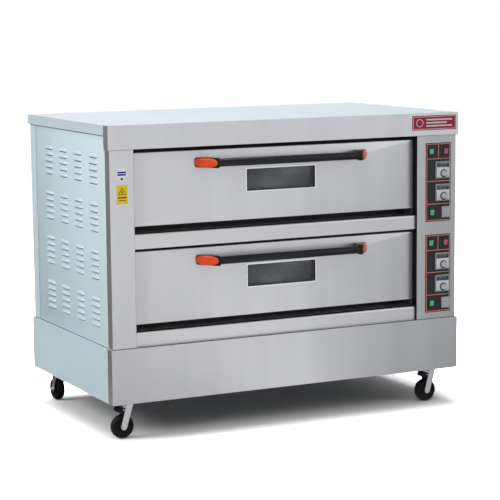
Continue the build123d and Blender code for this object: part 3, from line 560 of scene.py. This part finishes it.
# an upright lining beside each end of the door openings, and a level one on each sill: black sheet that is
# painted shade in the gaps round the doors
def openingShadeLinings(face, bottom, top):
    thick, back = seamSet["lining"], face + seamSet["liningDeep"]
    low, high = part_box("door_sills")
    linings = []
    for x, side in ((low.x, 1), (high.x, -1)):
        ends = sorted((x - side * 0.0002, x + side * thick))
        front = face + seamSet["liningFrom"]
        linings.append(roundedBox((ends[0], front, bottom), (ends[1], back, top), 0.0003, 1))
    for deck in decks:
        z = high.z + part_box(deck + "_door_skin")[0].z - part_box("upper_door_skin")[0].z
        front = low.y + seamSet["sillFrom"]
        linings.append(roundedBox((low.x, front, z - 0.0003), (high.x, back, z + thick), 0.0003, 1))
    return linings


addLouvredSides()
addSeams()


# the tray's rim is rounded by edge; fold is its sheet, and corner rounds the window and its trim
doorSet = {"edge": 0.0028, "trimWide": 0.007, "trimProud": 0.0016, "fold": 0.0015, "corner": 0.0015}


# middle and half size of a box across and up: (low + high) / 2 and (high - low) / 2
def acrossAndUp(low, high):
    return (low.x + high.x) / 2, (low.z + high.z) / 2, (high.x - low.x) / 2, (high.z - low.z) / 2


# a loop of points round a rectangle with rounded corners, lying in the plane y
def frontLoop(centreX, centreZ, halfWidth, halfHeight, corner, y):
    flat = roundedOutline(halfWidth, halfHeight, corner, 4)
    return np.stack([centreX + flat[:, 0], np.full(len(flat), y), centreZ + flat[:, 1]], -1)


# the door's front tray is a run of loops: from the window edge out to the rim, round the rim by an arc,
# where angle a draws the loop in by r (1 - sin a) and back by r (1 - cos a), and then to the back; the
# trim is another
def addDoorFront(deck):
    low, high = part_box(deck + "_door_skin")
    cx, cz, hx, hz = acrossAndUp(low, high)
    wx, wz, ww, wh = acrossAndUp(*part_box(deck + "_door_glass"))
    r, fold, corner = doorSet["edge"], doorSet["fold"], doorSet["corner"]
    loops = [frontLoop(wx, wz, ww, wh, corner, low.y + depth) for depth in (fold, 0.0)]
    for a in np.linspace(0, math.pi / 2, 5):
        out = r * math.sin(a)
        loops.append(frontLoop(cx, cz, hx - r + out, hz - r + out, 0.002 + out * 0.5,
                               low.y + r * (1 - math.cos(a))))
    loops.append(frontLoop(cx, cz, hx, hz, 0.002 + r * 0.5, high.y))
    loops.append(frontLoop(cx, cz, hx - fold, hz - fold, 0.002, high.y))
    tray = gridPatch(np.array(loops), True, flip=True)
    addPiece(deck + "DoorFront", [tray], "steelUpright", deck + "_door", (deck + "_door_skin",),
             solid=False)
    t, p = doorSet["trimWide"], doorSet["trimProud"]
    trim = [(0.0, 0.010), (0.0, -p * 0.4), (0.0008, -p), (t - 0.0012, -p), (t, -p * 0.3), (t, 0.0002)]
    rings = [frontLoop(wx, wz, ww + out, wh + out, corner + out, low.y + back) for out, back in trim]
    addPiece(deck + "WindowTrim", [gridPatch(np.array(rings), True, flip=True)], "steelTrim", deck + "_door",
             (), solid=False)


paneSet = {"thick": 0.004, "edge": 0.0008}


# both panes are thin slabs with rounded edges; the outer one is clear and the inner one dark
def addPanes(deck):
    low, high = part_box(deck + "_door_glass")
    thick, edge = paneSet["thick"], paneSet["edge"]
    outer = roundedBox((low.x, low.y, low.z), (high.x, low.y + thick, high.z), edge, 2)
    inner = roundedBox((low.x, high.y - thick, low.z), (high.x, high.y, high.z), edge, 2)
    addPiece(deck + "OuterPane", [outer], "outerGlass", deck + "_door", (deck + "_door_glass",))
    addPiece(deck + "InnerPane", [inner], "innerGlass", deck + "_door", ())


sealSet = {"radius": 0.0019, "inset": 0.030, "corner": 0.020}


# the seal is a circle of radius r carried round a rounded rectangle on the door's back: angle a puts the
# loop out by r cos a and behind the panel by r (1 + sin a)
def addSeal(deck):
    low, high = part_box(deck + "_door_inner_panel")
    cx, cz, hx, hz = acrossAndUp(low, high)
    hx, hz, r = hx - sealSet["inset"], hz - sealSet["inset"], sealSet["radius"]
    loops = []
    for a in np.linspace(0, 2 * math.pi, 10, endpoint=False):
        out = r * math.cos(a)
        loops.append(frontLoop(cx, cz, hx + out, hz + out, sealSet["corner"] + out,
                               high.y + r * (1 + math.sin(a))))
    points = np.array(loops + loops[:1])
    addPiece(deck + "DoorSeal", [gridPatch(points, True)], "sealRope", deck + "_door", (),
             smoothAngle=80)


# a screw's head, and how far in from the sheet's edges the rows of heads lie: side, bottom, top
screwSet = {"radius": 0.0042, "rise": 0.0024, "back": (0.02, 0.015, 0.06), "flank": (0.2, 0.25),
            "door": (0.015, 0.014, 0.014)}


# a pan head is a dome with a dimple, turned from its profile about the Y axis
def screwHead(x, y, z):
    r, h = screwSet["radius"], screwSet["rise"]
    dome = [(0.0, r), (h * 0.35, r), (h * 0.75, r * 0.82), (h, r * 0.45), (h * 0.8, r * 0.3)]
    return turned(dome, (x, y, z), (0, 1, 0), 16)


# a row of heads along the bottom and the top of a sheet, evenly spaced
def screwRows(low, high, inset, count):
    side, bottom, top = inset
    return [screwHead(x, high.y, z) for x in np.linspace(low.x + side, high.x - side, count)
            for z in (low.z + bottom, high.z - top)]


# the back panel is screwed on all round, and each door's inner panel along its bottom and top
def addScrews():
    low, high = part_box("back_panel")
    heads = screwRows(low, high, screwSet["back"], 7)
    side, (bottom, top) = screwSet["back"][0], screwSet["flank"]
    heads += [screwHead(x, high.y, z) for x in (low.x + side, high.x - side)
              for z in np.linspace(low.z + bottom, high.z - top, 3)]
    addPiece("backScrews", heads, "zincPlate", "cabinet", (), smoothAngle=50)
    for deck in decks:
        heads = screwRows(*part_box(deck + "_door_inner_panel"), screwSet["door"], 6)
        addPiece(deck + "DoorScrews", heads, "zincPlate", deck + "_door", (), smoothAngle=50)


for deck in decks:
    addDoorFront(deck)
    addPanes(deck)
    addSeal(deck)
addScrews()


# a leg's plan from its foot: footWide along the door, its blunt tip from tipIn to tipOut, straight for
# tipStraight; bend rounds the foot's corners and the tip's, and pinch draws the plan in at the top and
# bottom
handleSet = {"barRadius": 0.016, "capDome": 0.0055, "footWide": 0.058, "tipIn": 0.076, "tipOut": 0.064,
             "tipStraight": 0.032, "bend": (0.004, 0.006), "pinch": 0.16}


# a leg's plan, each corner rounded as (1 - w)^2 a + 2 w (1 - w) corner + w^2 b, a and b lying bend away
# from it
def legOutline(side, foot, tip, face):
    deep = face - tip
    tipIn = handleSet["tipIn"]
    reach = [(0.0, 0.0), (handleSet["footWide"], 0.0), (tipIn, deep - handleSet["tipStraight"]),
             (tipIn, deep), (handleSet["tipOut"], deep)]
    corners = [Vector((foot - side * x, face - y)) for x, y in reach]
    points = []
    for k, here in enumerate(corners):
        before, after = corners[k - 1], corners[(k + 1) % len(corners)]
        bend = handleSet["bend"][0 if k < 2 else 1]
        a = here + (before - here).normalized() * bend
        b = here + (after - here).normalized() * bend
        w = np.linspace(0, 1, 6)[:, None]
        points.append((1 - w) ** 2 * np.array(a) + 2 * w * (1 - w) * np.array(here) + w ** 2 * np.array(b))
    return np.concatenate(points)


# the plan at angle a lies half sin a above z, drawn in towards its centre to 1 - pinch (1 - cos a)^1.5
def legShape(outline, z, half):
    centre = outline.mean(0)
    turn = np.linspace(-math.pi / 2, math.pi / 2, 13)
    draw = 1 - handleSet["pinch"] * (1 - np.cos(turn)) ** 1.5
    rings = centre + (outline - centre)[None] * draw[:, None, None]
    levels = np.broadcast_to((z + half * np.sin(turn))[:, None, None], rings.shape[:2] + (1,))
    return gridPatch(np.concatenate([rings, levels], -1), True, True, True)


# a cap lies on a leg's slanting end from inner to outer. Its rim is along = length |cos u|^p and up =
# half |sin u|^0.85, p being 0.55 at the outer end and 0.85 at the inner; ring v is shrunk to cos(v)^0.45
# and raised by capDome sin v
def capShape(side, inner, outer, half):
    along = (outer - inner).normalized()
    out = Vector((side * abs(along.y), -abs(along.x), 0))
    middle = (inner + outer) / 2
    length = (outer - inner).length / 2 - 0.0015
    u = np.linspace(0, 2 * math.pi, 64, endpoint=False)
    blunt = np.where(np.cos(u) > 0, 0.55, 0.85)
    rim = np.stack([length * np.sign(np.cos(u)) * np.abs(np.cos(u)) ** blunt,
                    (half - 0.0008) * np.sign(np.sin(u)) * np.abs(np.sin(u)) ** 0.85], -1)
    v = np.linspace(0, math.pi / 2, 9)
    shrink = np.concatenate([[1.0], np.cos(v) ** 0.45])
    rise = np.concatenate([[-0.001], handleSet["capDome"] * np.sin(v)])
    rings = rim[None] * shrink[:, None, None]
    points = (np.array(middle) + rings[..., :1] * np.array(along) + rings[..., 1:] * np.array((0, 0, 1.0))
              + rise[:, None, None] * np.array(out))
    return gridPatch(points, True, True, True)


# a turned grip, and at each end a leg with its cap
def addHandle(deck):
    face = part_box(deck + "_door_skin")[0].y
    low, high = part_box(deck + "_handle_bar")
    z, y = (low.z + high.z) / 2, (low.y + high.y) / 2
    r = handleSet["barRadius"]
    grip = [(low.x - 0.004, r * 0.9), (low.x, r * 0.97), (low.x + 0.006, r)]
    grip += [(high.x - 0.006, r), (high.x, r * 0.97), (high.x + 0.004, r * 0.9)]
    addPiece(deck + "Grip", [turned(grip, (0, y, z), (1, 0, 0), 64)], "handleBlack", deck + "_door",
             (deck + "_handle_bar",))
    legLow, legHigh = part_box(deck + "_handle_brackets")
    half = (legHigh.z - legLow.z) / 2
    legs, caps = [], []
    for side, foot in ((-1, legLow.x), (1, legHigh.x)):
        legs.append(legShape(legOutline(side, foot, legLow.y, face), z, half))
        inner = Vector((foot - handleSet["tipOut"] * side, legLow.y, z))
        caps.append(capShape(side, inner, Vector((foot, face, z)), half))
    addPiece(deck + "HandleLegs", legs, "legBlack", deck + "_door", (deck + "_handle_brackets",),
             smoothAngle=50)
    addPiece(deck + "HandleCaps", caps, "capOrange", deck + "_door", (deck + "_handle_caps",),
             smoothAngle=60)


for deck in decks:
    addHandle(deck)


# the overlay's rows from the top, with a gap between them, and its lines, which lie edge inside its rim
controlSet = {"line": 0.0028, "lineProud": 0.0007, "rows": (0.057, 0.088, 0.090, 0.064), "gap": 0.007,
              "edge": 0.0035}

# a thermostat's face from the middle of its bezel; plate and display are half width, bottom and top, a
# tick runs from one radius to another, and the ticks go from first by step degrees
dialSet = {"knobAside": 0.003, "knobBelow": 0.015, "proud": 0.005, "plate": (0.031, -0.031, 0.011),
           "display": (0.0295, 0.0125, 0.0285), "digits": 3, "digitPitch": 0.012, "digitUp": 0.0205,
           "ticks": 11, "first": -150, "step": 30, "tick": (0.0188, 0.0212), "tickHalf": 0.0004}


# a raised line of one width inside a rounded rectangle, as a run of loops back, front, front and back
def ringLine(centreX, centreZ, halfWidth, halfHeight, face, width, proud, corner=0.002):
    run = [(0.0, 0.0), (0.0, -proud), (-width, -proud), (-width, 0.0)]
    loops = [frontLoop(centreX, centreZ, halfWidth + out, halfHeight + out, max(corner + out, 0.0006),
                       face + back) for out, back in run]
    return gridPatch(np.array(loops), True)


# a red line runs round the black overlay, one between each pair of rows, and one upright halves the first
# row
def overlayLines(drop):
    low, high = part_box("control_panels")
    face, top = low.y, high.z + drop
    line, proud = controlSet["line"], controlSet["lineProud"]
    rows, gap, edge = controlSet["rows"], controlSet["gap"], controlSet["edge"]
    left, right = low.x + edge, high.x - edge
    bottom = top - sum(rows) - gap * (len(rows) + 1)
    middle, halfWidth = (left + right) / 2, (right - left) / 2
    lines = [ringLine(middle, (top + bottom) / 2, halfWidth, (top - bottom) / 2 - edge, face, line, proud)]
    levels = top - gap / 2 - np.cumsum(np.array(rows) + gap)
    bars = [(left, level - line / 2, right, level + line / 2) for level in levels[:-1]]
    bars.append((middle - line / 2, levels[0], middle + line / 2, top - edge))
    lines += [roundedBox((x0, face - proud, z0), (x1, face + 0.0005, z1), 0.0002, 1)
              for x0, z0, x1, z1 in bars]
    return lines


# a slab before a thermostat, its size being half width, bottom and top from (x, z)
def dialSlab(x, z, size, front, back, radius):
    half, bottom, top = size
    return roundedBox((x - half, front, z + bottom), (x + half, back, z + top), radius, 2)


# a small unlit figure eight of seven bars, each given by its middle and half its width and height
def digitEight(x, z, face):
    bars = [(0, 0.0052, 0.0028, 0.0005), (0, 0, 0.0028, 0.0005), (0, -0.0052, 0.0028, 0.0005)]
    bars += [(sx * 0.0033, sz * 0.0026, 0.0005, 0.0021) for sx in (-1, 1) for sz in (-1, 1)]
    return [roundedBox((x + bx - w, face - 0.0002, z + bz - h), (x + bx + w, face + 0.0002, z + bz + h),
                       0.00015, 1) for bx, bz, w, h in bars]


# a short stroke between the tick's two radii, at an angle from straight up
def dialTick(x, z, angle, face):
    along = np.array([math.sin(angle), 0, math.cos(angle)])
    across = np.array([math.cos(angle), 0, -math.sin(angle)])
    (near, far), half = dialSet["tick"], dialSet["tickHalf"]
    outline = np.array([(near, -half), (far, -half), (far, half), (near, half)])
    rings = [np.array([x, face + d, z]) + outline[:, :1] * along + outline[:, 1:] * across
             for d in (0.0002, -0.0002)]
    return gridPatch(np.array(rings), True, True, True)


# each deck has its overlay's lines and two thermostats, and each of these a face, a display, ticks and a
# knob
def addControls():
    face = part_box("control_panels")[0].y - dialSet["proud"]
    red, white, dark, ticks, digits = [], [], [], [], []
    for deck in decks:
        red += overlayLines(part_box(deck + "_roof_heat_knob")[0].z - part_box("upper_roof_heat_knob")[0].z)
        for knob in ("_roof_heat_knob", "_floor_heat_knob"):
            kx, kz, _, _ = acrossAndUp(*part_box(deck + knob))
            cx, cz = kx - dialSet["knobAside"], kz + dialSet["knobBelow"]
            white.append(dialSlab(cx, cz, dialSet["plate"], face - 0.0012, face + 0.0005, 0.0005))
            dark.append(dialSlab(cx, cz, dialSet["display"], face + 0.0004, face + 0.0012, 0.0003))
            for number in range(dialSet["digits"]):
                x = cx + (number - 1) * dialSet["digitPitch"]
                digits += digitEight(x, cz + dialSet["digitUp"], face + 0.0003)
            # a dark disc behind the knob: painted shade, the ring of shadow round it
            disc = [(0.0002, 0.0175), (-0.0008, 0.0175), (-0.0012, 0.0168), (-0.0012, 0.001)]
            dark.append(turned(disc, (kx, face - 0.0012, kz), (0, 1, 0), 40))
            for number in range(dialSet["ticks"]):
                angle = math.radians(dialSet["first"] + number * dialSet["step"])
                ticks.append(dialTick(kx, kz, angle, face - 0.0013))
            addKnob(deck + knob, kx, kz, face)
    addPiece("overlayLines", red, "overlayRed", "cabinet", (), solid=False)
    addPiece("dialFaces", white, "faceWhite", "cabinet", ())
    addPiece("dialDisplays", dark, "displayDark", "cabinet", ())
    addPiece("dialTicks", ticks, "knobShade", "cabinet", ())
    addPiece("displayDigits", digits, "bezelGrey", "cabinet", ())


knobSet = {"flutes": 12, "depth": 0.09}


# the knob is a turned skirt, a turned grip with its radius drawn in at each flute, and a mark straight up;
# the skirt's dark grey is painted shade, a ring of shadow round the grip
def addKnob(node, x, z, face):
    skirt = [(-0.0012, 0.0150), (-0.0030, 0.0150), (-0.0036, 0.0144), (-0.0036, 0.002)]
    addPiece(node + "Skirt", [turned(skirt, (x, face, z), (0, 1, 0), 48)], "knobShade", node, (node,))
    body = [(-0.0030, 0.0125), (-0.0110, 0.0118), (-0.0128, 0.0112), (-0.0136, 0.0100)]
    addPiece(node + "Grip", [turned(body, (x, face, z), (0, 1, 0), 96, knobSet["flutes"], knobSet["depth"])],
             "knobSilver", node, ())
    mark = roundedBox((x - 0.0008, face - 0.0140, z + 0.002), (x + 0.0008, face - 0.0132, z + 0.0098),
                      0.0002, 2)
    addPiece(node + "Mark", [mark], "knobShade", node, ())


addControls()


# a thin plate over an outline, from back to front in front of a face; forward is negative
def flatLoop(outline, centreX, centreZ, face, back, front):
    points = np.array(outline)
    rings = [np.stack([centreX + points[:, 0], np.full(len(points), face + d), centreZ + points[:, 1]], -1)
             for d in (back, front)]
    return gridPatch(np.array(rings), True, True, True)


# an ellipse outline: across = radius cos u, up = radius stretch sin u
def roundOutline(radius, stretch=1.0):
    u = np.linspace(0, 2 * math.pi, 48, endpoint=False)
    return np.stack([radius * np.cos(u), radius * stretch * np.sin(u)], -1)


# places across are from the plate's left edge; ring is its middle, radius and width, and bars are left
# and right
plateSet = {"border": (0.0035, 0.0022, 0.003), "ring": (0.036, 0.017, 0.003), "proud": 0.0004,
            "bars": ((0.068, 0.196), (0.068, 0.170), (0.068, 0.196)), "barHalf": 0.0032, "barRound": 0.0014,
            "barPitch": 0.013}


# a border line, a ring and plain bars stand a little proud of the plate
def addNameplate():
    low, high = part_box("nameplate")
    cx, cz, hx, hz = acrossAndUp(low, high)
    face, proud = low.y, plateSet["proud"]
    inset, wide, corner = plateSet["border"]
    border = ringLine(cx, cz, hx - inset, hz - inset, face, wide, proud, corner)
    addPiece("nameplateBorder", [border], "platePale", "cabinet", (), solid=False)
    middle, radius, width = plateSet["ring"]
    u = np.linspace(0, 2 * math.pi, 40, endpoint=False)
    loops = []
    for r, back in ((radius, 0.0), (radius, -proud), (radius - width, -proud), (radius - width, 0.0)):
        across, up = low.x + middle + r * np.cos(u), cz + r * np.sin(u)
        loops.append(np.stack([across, np.full(40, face + back), up], -1))
    marks = [gridPatch(np.array(loops), True)]
    for k, (a, b) in enumerate(plateSet["bars"]):
        bar = roundedOutline((b - a) / 2, plateSet["barHalf"], plateSet["barRound"])
        z = cz + plateSet["barPitch"] * (1 - k)
        marks.append(flatLoop(bar, low.x + (a + b) / 2, z, face, 0.0, -proud))
    addPiece("nameplateMarks", marks, "platePale", "cabinet", (), solid=False)


# each label's middle and size, and the back and front of its paper and of its ink; bars are half width,
# half height, rounding and how far up
labelSet = {"disc": (-0.741, 1.0595, 0.025), "plate": (-0.741, 0.9805, 0.023, 0.0365),
            "paper": (0.0, -0.0003), "ink": (-0.0002, -0.0005),
            "triangle": ((0.0, 0.019), (-0.0175, -0.011), (0.0175, -0.011)),
            "triangleUp": 0.010, "triangleInner": 0.80,
            "bars": ((0.0022, 0.0052, 0.001, 0.0095), (0.018, 0.0022, 0.0008, -0.0115),
                     (0.014, 0.0016, 0.0008, -0.0225))}


# a white disc with two bars and a dot
def addRoundLabel(face):
    x, z, r = labelSet["disc"]
    disc = flatLoop(roundOutline(r, 1.08), x, z, face, *labelSet["paper"])
    addPiece("roundLabel", [disc], "labelWhite", "cabinet", ())
    bar = roundedOutline(r * 0.72, r * 0.13, 0.002)
    ink = [flatLoop(bar, x, z + r * (0.3 - 0.36 * k), face, *labelSet["ink"]) for k in range(2)]
    ink.append(flatLoop(roundOutline(r * 0.2), x, z - r * 0.72, face, *labelSet["ink"]))
    addPiece("roundLabelInk", ink, "labelNavy", "cabinet", ())


# a yellow plate with a triangle's outline, drawn in to a share of its size on the inside, and three bars
def addYellowLabel(face):
    x, z, hx, hz = labelSet["plate"]
    back, front = labelSet["ink"]
    plate = flatLoop(roundedOutline(hx, hz, 0.002), x, z, face, *labelSet["paper"])
    addPiece("yellowLabel", [plate], "labelYellow", "cabinet", ())
    corner, inner = np.array(labelSet["triangle"]), labelSet["triangleInner"]
    up = z + labelSet["triangleUp"]
    rings = [np.stack([x + corner[:, 0] * k, np.full(3, face + d), up + corner[:, 1] * k], -1)
             for k, d in ((1.0, back), (1.0, front), (inner, front), (inner, back))]
    ink = [gridPatch(np.array(rings), True)]
    for halfWidth, halfHeight, radius, rise in labelSet["bars"]:
        ink.append(flatLoop(roundedOutline(halfWidth, halfHeight, radius), x, z + rise, face, back, front))
    addPiece("yellowLabelInk", ink, "labelInk", "cabinet", ())


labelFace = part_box("front_columns")[0].y
addNameplate()
addRoundLabel(labelFace)
addYellowLabel(labelFace)


# half the tyre's width, how far it stays off the floor, and how much its tread is crowned
wheelSet = {"half": 0.016, "clear": 0.0001, "crown": 0.0055}


# the tyre is turned from hub, wall and tread; the tread's radius is r - crown |a|^2.6, a going from -1 to
# 1 across
def addWheel(corner):
    node = corner + "_caster_wheel"
    joint = next(j for j in frame["joints"] if j["child"] == corner + "_wheel")
    r, h = joint["pos_m"][2] - wheelSet["clear"], wheelSet["half"]
    wall = [(-h - 0.003, 0.0042), (-h - 0.003, 0.0105), (-h - 0.0022, 0.0118), (-h + 0.004, 0.013),
            (-h + 0.0055, 0.015), (-h + 0.0055, r - 0.0145), (-h + 0.0045, r - 0.013),
            (-h + 0.0008, r - 0.0115), (-h, r - 0.010), (-h, r - 0.007)]
    tread = [(h * a, r - wheelSet["crown"] * abs(a) ** 2.6) for a in np.linspace(-1, 1, 13)]
    profile = wall + tread + [(-along, radius) for along, radius in wall[::-1]]
    tyre = turned(profile, joint["pos_m"], joint["axis"], 72)
    addPiece(corner + "Tyre", [tyre], "tyreRubber", corner + "_wheel", (node,),
             smoothAngle=40)


for corner in ("front_left", "front_right", "rear_left", "rear_right"):
    addWheel(corner)


# the floor is white to the eye and grey for bounced light, and glossy rays see a grey that goes by the
# bearing from the oven. Its painted shade under the oven has the half sizes, and start and soft are how
# far out it begins to fade and has faded, deep its share of the white, and join how softly its corners
# are rounded
floorSet = {"reach": 400.0, "drop": -0.0006, "seen": 3.3, "bounced": 0.5,
            "shade": {"halves": (("X", 0.76), ("Y", 0.42)), "start": -0.06, "soft": 0.24, "deep": 0.3,
                      "join": 0.12},
            "inGloss": [(0.0, (0.34, 0.34, 0.35)), (0.24, (0.66, 0.66, 0.665)), (0.285, (1.0, 1.0, 0.995)),
                        (0.315, (0.88, 0.88, 0.885)), (0.345, (0.52, 0.525, 0.545)),
                        (0.42, (0.36, 0.365, 0.385)), (0.70, (0.30, 0.30, 0.31)),
                        (0.80, (0.05, 0.05, 0.055)), (0.92, (0.05, 0.05, 0.055)),
                        (1.0, (0.34, 0.34, 0.35))]}


# the share of white at a point: past is the smooth maximum of |x| - half width and |y| - half depth, and
# the share goes in an S curve from deep at past = start to 1 at past = soft
def paintedShade(tree):
    shade = floorSet["shade"]
    spot = addNode(tree, "SeparateXYZ")
    link(stretched(tree, (1, 1, 1)), spot.inputs["Vector"])
    past = addNode(tree, "Math", {2: shade["join"]}, operation="SMOOTH_MAX")
    for socket, (axis, half) in enumerate(shade["halves"]):
        size = addNode(tree, "Math", operation="ABSOLUTE")
        link(spot.outputs[axis], size.inputs[0])
        beyond = addNode(tree, "Math", {1: half}, operation="SUBTRACT")
        link(size.outputs[0], beyond.inputs[0])
        link(beyond.outputs[0], past.inputs[socket])
    fall = addNode(tree, "MapRange", {"From Min": shade["start"], "From Max": shade["soft"],
                                      "To Min": shade["deep"]}, interpolation_type="SMOOTHSTEP")
    link(past.outputs[0], fall.inputs["Value"])
    return fall.outputs["Result"]


# one shader for most rays, another for camera rays and a third for glossy rays
def mixByRay(tree, other, seen, glossy):
    light = addNode(tree, "LightPath")
    for ray, shader in (("Is Camera Ray", seen), ("Is Glossy Ray", glossy)):
        mix = addNode(tree, "MixShader")
        link(light.outputs[ray], mix.inputs["Fac"])
        link(other, mix.inputs[1])
        link(shader.outputs[0], mix.inputs[2])
        other = mix.outputs[0]
    return other


# one large square a little below the wheels
def addFloor():
    reach, drop = floorSet["reach"], floorSet["drop"]
    square = [[(x, y, drop) for x in (-reach, reach)] for y in (-reach, reach)]
    mesh = bpy.data.meshes.new("floor")
    where, faces = gridPatch(square, False)
    mesh.from_pydata(where.tolist(), [], faces)
    floor = bpy.data.objects.new("floor", mesh)
    bpy.context.scene.collection.objects.link(floor)
    material, tree, shader = startMaterial("paleFloor", Roughness=0.9, Specular_IOR_Level=0.1)
    cloudy(tree, shader, (floorSet["bounced"],) * 3, 0.005, 0.5)
    white = addNode(tree, "VectorMath", {0: (floorSet["seen"],) * 3}, operation="SCALE")
    link(paintedShade(tree), white.inputs["Scale"])
    paper = addNode(tree, "BsdfDiffuse")
    link(white.outputs["Vector"], paper.inputs["Color"])
    bearing = addNode(tree, "TexGradient", gradient_type="RADIAL")
    link(stretched(tree, (1, 1, 1)), bearing.inputs["Vector"])
    mirrored = addNode(tree, "Emission", {"Strength": 1.0})
    link(ramp(tree, bearing.outputs["Fac"], floorSet["inGloss"]), mirrored.inputs["Color"])
    output = next(node for node in tree.nodes if node.type == "OUTPUT_MATERIAL")
    link(mixByRay(tree, shader.outputs[0], paper, mirrored), output.inputs["Surface"])
    mesh.materials.append(material)


# four square lamps turned to the middle of the oven, sizes in metres and power in watts
lightSet = {
    "key": {"place": (-2.6, -4.2, 4.6), "size": 3.2, "power": 98},
    "fill": {"place": (4.2, -4.6, 2.8), "size": 3.5, "power": 25},
    "left": {"place": (-4.8, 0.3, 3.2), "size": 2.4, "power": 150},
    "top": {"place": (0.4, 1.2, 4.6), "size": 3.0, "power": 122},
}
aimHeight = 0.6


# each lamp's -Z axis points from its place to the aim, straight above the origin
def addLights():
    for name, what in lightSet.items():
        data = bpy.data.lights.new(name, "AREA")
        data.shape = "SQUARE"
        data.size = what["size"]
        data.energy = what["power"]
        lamp = bpy.data.objects.new(name, data)
        lamp.location = what["place"]
        lamp.rotation_euler = (Vector((0, 0, aimHeight)) - lamp.location).to_track_quat("-Z", "Y").to_euler()
        bpy.context.scene.collection.objects.link(lamp)


# strengths of the room as seen, as light and in gloss, and its greys in gloss from -X (0) to +X (1)
roomSet = {"seen": 1.0, "lit": 0.315, "gloss": 0.85,
           "inGloss": [(0.0, (0.18, 0.18, 0.20)), (0.42, (0.28, 0.28, 0.30)), (0.56, (0.85, 0.85, 0.86)),
                       (0.85, (0.72, 0.73, 0.75)), (1.0, (0.80, 0.81, 0.83))]}


# a white room for what is seen directly; for gloss a grey room that is darker on the left
def addRoom():
    world = bpy.data.worlds.new("room")
    bpy.context.scene.world = world
    world.use_nodes = True
    tree = world.node_tree
    tree.nodes.clear()
    out = addNode(tree, "OutputWorld")
    seen = addNode(tree, "Background", {"Color": (1, 1, 1, 1), "Strength": roomSet["seen"]})
    lit = addNode(tree, "Background", {"Color": (1, 1, 1, 1), "Strength": roomSet["lit"]})
    mirrored = addNode(tree, "Background", {"Strength": roomSet["gloss"]})
    where = addNode(tree, "TexCoord")
    parts = addNode(tree, "SeparateXYZ")
    link(where.outputs["Generated"], parts.inputs["Vector"])
    greys = ramp(tree, spread(tree, parts.outputs["X"], 0, 1, -1, 1), roomSet["inGloss"])
    link(greys, mirrored.inputs["Color"])
    link(mixByRay(tree, lit.outputs[0], seen, mirrored), out.inputs["Surface"])


addFloor()
addLights()
addRoom()
bpy.context.scene.view_settings.view_transform = "Standard"
